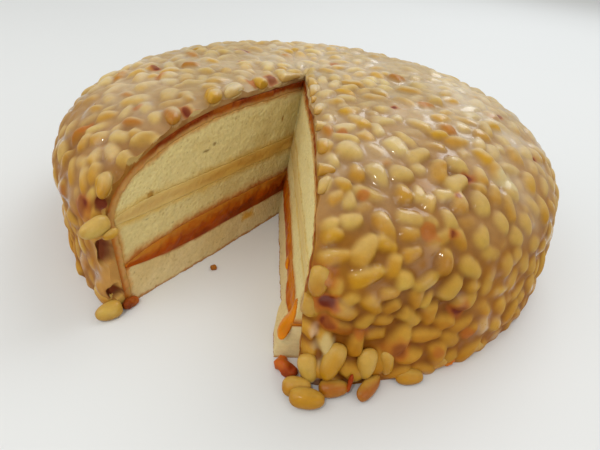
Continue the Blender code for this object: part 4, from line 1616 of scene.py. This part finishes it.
# %% [markdown]
# ## Layers of the cake
# Sponge, jam and cream lie in layers with a cut face at each end. Only those faces show, so they
# get a fine grid, and the hidden surfaces get few columns. All the layers are dressed in the same
# way: for each face a rule gives how far every point moves out and what colour it takes, from its
# place on the face and its share of the way up through the layer.

# %% Layers and their cut faces
LAYER_SPACING = 0.5
HIDDEN_COLUMNS = 24
LEVEL_RADII = np.linspace(0.0, SPONGE_RADIUS, int(SPONGE_RADIUS / LAYER_SPACING) + 1)


def filling_side(radius, middle_height, rim_height, flat_radius):
    """Height of a filling's side: level, then bending to its rim height with the square of the way."""
    way = np.clip((radius - flat_radius) / (SPONGE_RADIUS - flat_radius), 0.0, 1.0)
    return middle_height + (rim_height - middle_height) * way**2


def dome_height(radius):
    """Height of the bare sponge's dome over a radius: flat, then a quarter of an ellipse."""
    way = np.clip((radius - SHOULDER_START) / (SPONGE_RADIUS - SHOULDER_START), 0.0, 1.0)
    return SPRING + SHOULDER_DROP * np.sqrt(1 - way**2)


def layer_skin(radius, low_height, high_height, steps):
    """The closed skin between two turned surfaces, given by their heights over the same radii."""
    angles = np.linspace(RIGHT_CUT, LEFT_CUT + math.tau, HIDDEN_COLUMNS + 1)[None, :]
    low = on_rays(radius[:, None], low_height[:, None], angles)
    high = on_rays(radius[:, None], high_height[:, None], angles)
    return Skin(between(low, high, steps))


def dress_faces(skin, plain, rule, bulge=FOOT_BULGE):
    """Moves and paints both cut faces by a rule, which gives way out, colour and, for jam, shine."""
    skin.colour[:] = plain
    shift = np.zeros_like(skin.points)
    for face, out in FACES.items():
        where = skin.index[face]
        points = skin.points[where]
        place = face_place(points, face)
        share = np.linspace(0, 1, where.shape[1])[None, :]
        share = share if face == "right" else share[:, ::-1]
        relief, skin.colour[where], skin.shine[where] = rule(face, points, place, share)
        shift[where] += out * (relief + cut_wobble(place[..., 0], place[..., 1], face, bulge))[..., None]
    skin.points += shift


print("columns on a cut face:", len(LEVEL_RADII))

# %% [markdown]
# ## Sponge
# Sponge is a foam that has set, torn open by the knife. On the cut faces the points are pushed in
# where one of many random spots is near, at three sizes, and pushed out a little between them. The
# deepest holes are painted darker, because little light gets out of them.

# %% Sponge finish
def sponge_finish():
    finish = Finish(
        "sponge",
        Subsurface_Weight=0.25,
        Subsurface_Radius=(1.0, 0.75, 0.40),
        Subsurface_Scale=0.002,
        Roughness=0.92,
        Specular_IOR_Level=0.2,
    )
    paint = finish.attribute("paint", "Color")
    fine = finish.noise(2600.0, 4.0)
    patchy = finish.noise(600.0, 4.0)
    finish.link(finish.scaled(paint, 0.76 + patchy * 0.26 + fine * 0.22), "Base Color")
    finish.bump(patchy * 0.5 + fine * 0.5, 0.5, 0.5)
    return finish.material


SPONGE = sponge_finish()
SPONGE_PAINT = {
    "sponge_bottom": colour(218, 196, 144),
    "sponge_middle": colour(216, 198, 138),
    "sponge_top": colour(220, 203, 142),
}
SPONGE_ROUND_COAT = SPONGE_PAINT["sponge_top"]
SOAKED = colour(188, 122, 40)
CRUST = colour(170, 98, 30)
HOLE = colour(166, 134, 74)
CLOUDY = colour(196, 162, 92)
CREAMY = colour(204, 166, 82)
JAM_STAIN = colour(172, 90, 16)
JAM_SMEAR = colour(206, 150, 30)
COAT_CRUMB = colour(158, 112, 36)
TUNNEL_SHADE = colour(120, 92, 40)
SPECK = colour(150, 100, 30)
# along the left face, height, half sizes and colour
# the tunnel marks are cracks in the crumb, whose darkness is painted shade
LEFT_MARKS = (
    (26.5, 9.5, 5.0, 2.4, JAM_SMEAR), (85.8, 40.6, 1.9, 2.6, COAT_CRUMB), (56.0, 50.8, 1.1, 1.0, TUNNEL_SHADE),
    (60.5, 49.2, 2.2, 0.6, TUNNEL_SHADE), (12.5, 50.5, 0.8, 1.4, SPECK),
)
print("sponge finish made")

# %% [markdown]
# Close to a filling or to the coat the sponge is stained, in a ragged band whose width follows the
# distance to that filling's side. Its foot is browned from the tin.

# %% Crumb and stains
def crumb(place, seed):
    """How deep the crumb's holes are at each place, in millimetres."""
    large = 1 - ramp(nearest_spot(place, 2.6, seed), 0.08, 0.30)
    large = large * ramp(noise(place, 8.0, seed + 6), 0.3, 0.7)
    middling = 1 - ramp(nearest_spot(place, 1.7, seed + 2), 0.12, 0.42)
    small = 1 - ramp(nearest_spot(place, 1.0, seed + 4), 0.15, 0.5)
    return 0.25 * large + 0.16 * middling + 0.15 * small


def soak(paint, points, place, seed):
    """Jam that has soaked in from the fillings and the coat, cream, and the browned foot."""
    ring = np.hypot(points[..., 0], points[..., 1])
    height = points[..., 2]
    rim = np.minimum(SPONGE_RADIUS - ring, (dome_height(ring) - height) * 0.9)
    ragged = 0.6 * noise(place, 4.5, seed + 12) + 0.3 * noise(place, 1.2, seed + 13)
    bare = (points[..., 0] > BETWEEN_CUTS) * (1 - ramp(height, 18.0, 36.0))
    paint = blend(paint, SOAKED, 0.75 * (1 - ramp(rim + ragged, -0.2, 1.8)) * (1 - bare))
    over_cream = np.abs(height - filling_side(ring, *CREAM_TOP))
    near_cream = np.minimum(over_cream, np.abs(height - filling_side(ring, *CREAM_BOTTOM)))
    paint = blend(paint, CREAMY, 0.85 * (1 - ramp(near_cream + 1.4 * ragged, -0.4, 3.2)))
    over_jam = height - filling_side(ring, *JAM_TOP)
    under_jam = filling_side(ring, *JAM_BOTTOM) - height
    wide = 1 - ramp(over_jam + 1.6 * ragged, 0.8, 4.6)
    close = 1 - ramp(over_jam + 1.2 * ragged, 0.0, 2.4)
    paint = blend(paint, SOAKED, 0.6 * wide * (over_jam > -1))
    paint = blend(paint, JAM_STAIN, 0.9 * close * (over_jam > -1))
    paint = blend(paint, JAM_STAIN, 0.7 * (1 - ramp(under_jam + 1.0 * ragged, 0.0, 1.0)) * (under_jam > -1))
    crust = 1.3 + 3.0 * ramp(place[..., 0], 92.0, 100.0) * (points[..., 0] > BETWEEN_CUTS)
    return blend(paint, CRUST, 0.75 * (1 - ramp((height + 1.2 * ragged) / crust, 0.2, 1.0)))


print("sponge stains start", CREAM_TOP[0], "mm up at the cream and", JAM_TOP[0], "at the jam")

# %% Sponge layers
def sponge_layer(name, radius, low_height, high_height, seed):
    """One layer of sponge: fine holes and a gentle swell on its faces, specks, stains and marks."""
    def crumb_and_stains(face, points, place, share):
        holes = crumb(place, seed)
        paint = blend(SPONGE_PAINT[name], HOLE, 0.5 * ramp(holes, 0.10, 0.5))
        paint = blend(paint, CLOUDY, 0.35 * ramp(rough_noise(place, 13.0, seed + 11), -0.1, 0.8))
        paint = blend(paint, HOLE * 0.5, 0.6 * ramp(noise(place, 1.6, seed + 10), 0.86, 0.98))
        paint = soak(paint, points, place, seed)
        for along, height, wide, tall, tint in LEFT_MARKS if face == "left" else ():
            away = np.hypot((place[..., 0] - along) / wide, (place[..., 1] - height) / tall)
            away = away * (1 + 0.4 * noise(place, 2.0, 91))
            paint = blend(paint, tint, 0.85 * (1 - ramp(away, 0.4, 1.2)))
        return 0.14 * noise(place, 3.0, seed + 9) - holes, paint, 0.0

    steps = int((high_height - low_height).max() / LAYER_SPACING)
    skin = layer_skin(radius, low_height, high_height, steps)
    dress_faces(skin, SPONGE_PAINT[name], crumb_and_stains)
    add_piece(name, skin, SPONGE, [name])


THINNEST_SPONGE = 0.4
jam_low, jam_high, cream_low, cream_high = (
    filling_side(LEVEL_RADII, *side) for side in (JAM_BOTTOM, JAM_TOP, CREAM_BOTTOM, CREAM_TOP)
)
dome_radii = SHOULDER_START * DOME.flat + (SPONGE_RADIUS - SHOULDER_START) * np.sin(DOME.turn)
dome_radii = np.unique(dome_radii.round(6))
crown_low = filling_side(dome_radii, *CREAM_TOP) + THIN_GAP
kept = dome_height(dome_radii) > crown_low + THINNEST_SPONGE
top_radii = dome_radii[kept]
sponge_layer("sponge_bottom", LEVEL_RADII, 0 * LEVEL_RADII, jam_low, 100)
sponge_layer("sponge_middle", LEVEL_RADII, jam_high, cream_low, 200)
sponge_layer("sponge_top", top_radii, crown_low[kept], dome_height(top_radii), 300)

# %% [markdown]
# ## Jam and cream
# Jam is dark, glossy and lumpy, and it bulges out of the cut, with brighter orange where it is thin.
# Butter cream is dull and smooth, smeared by the knife.

# %% Jam and cream finishes
def jam_finish():
    finish = Finish(
        "jam",
        Subsurface_Weight=0.35,
        Subsurface_Radius=(1.0, 0.30, 0.06),
        Subsurface_Scale=0.002,
        Specular_IOR_Level=0.08,
        Coat_Roughness=0.08,
    )
    paint = finish.attribute("paint", "Color")
    shine = finish.attribute("shine", "Fac")
    lumps = finish.noise(700.0, 4.0)
    finish.link(finish.tinted(paint, (lumps - 0.52) * 1.1, colour(186, 100, 12)), "Base Color")
    finish.link(0.45 - shine * 0.2 + lumps * 0.15, "Roughness")
    finish.link(shine * 0.20, "Coat Weight")
    finish.bump(lumps, 0.3, 0.5)
    return finish.material


def cream_finish():
    finish = Finish(
        "cream",
        Subsurface_Weight=0.25,
        Subsurface_Radius=(1.0, 0.7, 0.35),
        Subsurface_Scale=0.002,
    )
    paint = finish.attribute("paint", "Color")
    smear = finish.noise(520.0, 4.0)
    grain = finish.noise(2200.0, 3.0)
    finish.link(finish.tinted(paint, (smear - 0.50) * 1.1, colour(200, 160, 78)), "Base Color")
    finish.link(0.50 + grain * 0.25, "Roughness")
    finish.bump(smear * 0.6 + grain * 0.4, 0.4, 0.5)
    return finish.material


JAM = jam_finish()
CREAM = cream_finish()
JAM_DARK = colour(134, 54, 5)
JAM_MID = colour(164, 72, 4)
JAM_BRIGHT = colour(192, 112, 10)
COAT_DARK = colour(120, 42, 8)
COAT_MID = colour(160, 84, 18)
COAT_LEFT_SIDE = colour(190, 118, 44)
COAT_RIGHT_SIDE = colour(186, 110, 40)
CREAM_PAINT = colour(206, 160, 62)
CREAM_DARK = colour(189, 136, 36)
print("jam and cream finishes made")

# %% [markdown]
# The jam fades into the sponge above it, more on the left face. The cream's relief and its darker
# streaks are drawn out along the face. The jam coat is a thin line between sponge and icing: dark
# near the apex, partly darker jam and partly painted shade of the corner where the cuts meet, orange
# where it is thin, and soaked into the sponge on its inner side.

# %% Jam, cream and coat
def jam_rule(face, points, place, share):
    middle = np.sin(math.pi * share)
    lumps = 0.55 * noise(place, 4.0, 401) + 0.35 * noise(place, 1.7, 402)
    bright = 0.45 * noise(place, 7.0, 403) + 0.25 * noise(place, 2.0, 404)
    bright += 0.35 * (share - 0.5) + (0.55 if face == "right" else 0.0)
    bright += 0.4 * ramp(place[..., 0], 30.0, 90.0) - 0.05
    paint = blend(JAM_DARK, JAM_MID, ramp(bright, -0.5, 0.2))
    paint = blend(paint, JAM_BRIGHT, ramp(bright, 0.45, 1.1))
    fuzz = share + 0.18 * noise(place, 3.0, 406) + 0.08 * noise(place, 1.2, 407)
    soft = 1.0 if face == "left" else 0.4
    paint = blend(paint, JAM_STAIN, 0.85 * soft * ramp(fuzz, 0.42, 0.68))
    paint = blend(paint, SOAKED, 0.9 * soft * ramp(fuzz, 0.62, 0.95))
    return (0.35 + lumps) * middle, paint, np.clip(0.2 + 0.6 * noise(place, 5.0, 405), 0, 1)


def cream_rule(face, points, place, share):
    middle = np.sin(math.pi * share)
    smear = place * np.array((0.35, 1.0))
    relief = (0.30 * noise(smear, 2.2, 501) + 0.15 * noise(place, 1.1, 502)) * middle
    dark = ramp(noise(smear, 3.0, 503) + 0.4 * noise(place, 9.0, 504) + middle - 0.6, -0.3, 0.7)
    paint = blend(CREAM_PAINT, CREAM_DARK, dark)
    paint = blend(paint, CREAMY, 0.6 * (1 - middle))
    plain = 0.65 if face == "right" else 0.1 + 0.3 * ramp(place[..., 0], 45.0, 80.0)
    return relief, blend(paint, SPONGE_ROUND_COAT, plain), 0.0


def coat_rule(face, points, place, share):
    along = place[..., 0]
    relief = 0.35 * noise(place, 3.0, 601) + 0.25 * noise(place, 1.2, 602)
    bright = noise(place, 7.0, 603) * 0.6 + noise(place, 2.0, 604) * 0.4
    inner = 1 - ramp(share + 0.2 * bright, 0.05, 0.6)
    paint = blend(COAT_DARK, COAT_MID, ramp(bright, -0.5, 0.7))
    # darker in random patches of jam, and near the apex partly as painted shade of the corner where the
    # cuts meet
    dark = np.maximum(ramp(-bright, 0.25, 0.8), 1 - ramp(along + 6 * bright, 6.0, 24.0))
    paint = blend(paint, JAM_DARK, 0.85 * dark)
    if face == "left":
        upright = ramp(along, 84.0, 96.0)
        inner = np.maximum(inner, (1 - ramp(share + 0.3 * bright, 0.35, 0.9)) * upright)
        upright = upright * (1 - 0.9 * torn(points))
        paint = blend(paint, COAT_LEFT_SIDE, (0.55 + 0.3 * bright) * upright)
    else:
        relief = relief - broken_back(points)
        paint = blend(paint, COAT_RIGHT_SIDE, 0.8 * (1 - ramp(place[..., 1], 26.0, 44.0)))
    paint = blend(paint, blend(SOAKED, SPONGE_ROUND_COAT, 0.35), 0.85 * inner)
    return relief, paint, np.clip(0.1 + 0.4 * noise(place, 5.0, 605), 0, 1)


JAM_STEPS, CREAM_STEPS, COAT_STEPS = 20, 12, 6
skin = layer_skin(LEVEL_RADII, jam_low + THIN_GAP, jam_high - THIN_GAP, JAM_STEPS)
dress_faces(skin, JAM_DARK, jam_rule)
add_piece("jam_filling", skin, JAM, ["jam_filling"])

skin = layer_skin(LEVEL_RADII, cream_low + THIN_GAP, cream_high, CREAM_STEPS)
dress_faces(skin, CREAM_PAINT, cream_rule)
add_piece("cream_filling", skin, CREAM, ["cream_filling"])

coat_angles = np.linspace(RIGHT_CUT, LEFT_CUT + math.tau, HIDDEN_COLUMNS * 2 + 1)
coat_low = DOME.points((THIN_GAP, THIN_GAP), coat_angles, 0.0, COAT_FOOT)
coat_high = DOME.points(COAT_GROWTH, coat_angles, 0.0, COAT_FOOT)
skin = Skin(between(coat_low, coat_high, COAT_STEPS))
dress_faces(skin, JAM_DARK, coat_rule, bulge=0.0)
add_piece("jam_coat", skin, JAM, ["jam_coat"])

# %% [markdown]
# Near the front of the right face jam has run out of its layer and hangs there in two drops. A drop
# is an oval carried down a line on the face: narrow at the neck, widest low down, closed at both
# ends, and thicker where it is wider.

# %% Jam drops
DROP_RINGS = 24
DROP_TURNS = 20
# along the face, top, bottom, half width, thickness
DROPS = ((95.5, 24.5, 10.5, 5.5, 2.6), (64.0, 21.0, 13.4, 3.4, 1.3))
AMBER = colour(214, 130, 6)
DROP_SHINE = 0.8


def drop_grid(along, top, bottom, half_width, thick):
    """Rings from top to bottom; the half width grows as a power of the way, then closes as a root."""
    way = np.linspace(0.0, 1.0, DROP_RINGS)[:, None]
    turn = np.linspace(0.0, math.tau, DROP_TURNS + 1)[None, :]
    size = (0.25 + 0.75 * way**1.5) * np.sqrt(np.maximum(1 - way**6, 0.0)) * np.minimum(way * 12, 1.0)
    height = top + (bottom - top) * way + 0 * turn
    sideways = along + half_width * size * np.cos(turn) + 0.4 * np.sin(way * 7)
    cut = np.array((math.cos(RIGHT_CUT), math.sin(RIGHT_CUT)))
    plan = apex_at(height) + sideways[..., None] * cut
    points = np.concatenate([plan, height[..., None]], axis=-1)
    stray = cut_wobble(sideways, height, "right")
    return points + RIGHT_OUT * (stray + thick * size * np.sin(turn) + 0.5 * size)[..., None]


skin = Skin({k: drop_grid(*drop) for k, drop in enumerate(DROPS)})
skin.colour[:] = blend(AMBER, JAM_BRIGHT, ramp(noise(skin.points, 5.0, 411), -0.2, 0.6))
skin.shine[:] = DROP_SHINE
add_piece("jam_drops", skin, JAM, ["jam_filling"])

# %% [markdown]
# At the feet of both cuts lie dark, rusty crumbs of coat, one leans on the right foot, and a small one
# lies near the apex. Each is a lumpy rope: rings around a short path, swollen in the middle, closed
# at its ends and flattened where it reaches the surface that the cake stands on.

# %% Baked crumbs
CRUMB_RINGS = 26
CRUMB_TURNS = 18
RUST = colour(200, 108, 36)
MAROON = colour(140, 48, 14)
ORANGE = colour(190, 108, 14)
BROWN = colour(150, 92, 26)
TAN = colour(170, 110, 40)
CRUMB_SHINE = 0.25
# path, thickness, colours at its two ends
CRUMBS = (
    (((-0.6, -110.6, 1.8), (-1.7, -113.8, 1.9), (0.9, -116.2, 2.0), (4.6, -116.8, 1.8)), 2.3, RUST, MAROON),
    (((-63.0, -95.9, 2.4), (-62.0, -93.2, 1.8), (-59.7, -89.9, 1.2)), 1.9, MAROON * 0.5, RUST * 0.7),
    (((20.9, -122.2, 1.8), (21.6, -121.2, 5.0), (21.9, -120.0, 8.5)), 2.3, JAM_MID, MAROON),
    (((56.0, -106.0, 1.5), (58.4, -104.6, 1.8), (61.0, -103.0, 1.6)), 1.6, ORANGE, RUST),
    (((-36.6, -67.2, 0.8), (-34.4, -65.6, 0.9)), 1.3, BROWN, TAN),
)


def crumb_grid(path, thick, seed):
    """Rings around a path; their radius is the root of one less the fourth power of the way."""
    path = np.array(path, dtype=float)
    share = np.linspace(0.0, 1.0, CRUMB_RINGS)
    line = np.stack([np.interp(share, np.linspace(0, 1, len(path)), path[:, k]) for k in range(3)], axis=1)
    ahead = np.gradient(line, axis=0)
    ahead /= np.linalg.norm(ahead, axis=1, keepdims=True)
    side = np.cross(ahead, (0.0, 0.0, 1.0))
    rise = np.cross(side, ahead)
    size = thick * (1 - (2 * share - 1) ** 4) ** 0.5
    turn = np.linspace(0.0, math.tau, CRUMB_TURNS + 1)[None, :, None]
    outward = side[:, None] * np.cos(turn) + rise[:, None] * np.sin(turn)
    points = line[:, None] + outward * size[:, None, None]
    lumps = 0.5 * noise(points, 2.2, seed) + 0.3 * noise(points, 1.0, seed + 1)
    points = points + outward * (lumps * size[:, None] / thick)[..., None]
    points[..., 2] = np.maximum(points[..., 2], 0.02)
    return points


skin = Skin({k: crumb_grid(*crumb[:2], 420 + k) for k, crumb in enumerate(CRUMBS)})
for k, (_, _, first, last) in enumerate(CRUMBS):
    where = skin.index[k]
    share = np.linspace(0, 1, CRUMB_RINGS)[:, None] + 0.3 * noise(skin.points[where], 2.0, 430)
    skin.colour[where] = blend(first, last, np.clip(share, 0, 1))
skin.shine[:] = CRUMB_SHINE
add_piece("baked_crumbs", skin, JAM, ["jam_coat"])

# %% [markdown]
# ## Floor
# A wide, pale, plain floor that isn't part of the cake.

# %% Floor
FLOOR_HALF = 6000.0 * MM
FLOOR_CORNERS = [(x * FLOOR_HALF, y * FLOOR_HALF, 0) for x, y in ((-1, -1), (1, -1), (1, 1), (-1, 1))]
finish = Finish("floor", Roughness=0.6)
cloud = finish.noise(3.0, 2.0)
base = finish.tinted(cloud, 1.0, (0.72, 0.74, 0.75))
finish.link(finish.tinted(base, cloud * 0.3, (0.80, 0.82, 0.83)), "Base Color")
mesh = bpy.data.meshes.new("floor")
mesh.from_pydata(FLOOR_CORNERS, [], [(0, 1, 2, 3)])
mesh.materials.append(finish.material)
floor = bpy.data.objects.new("floor", mesh)
bpy.context.scene.collection.objects.link(floor)
print("floor:", 2 * FLOOR_HALF, "m across")
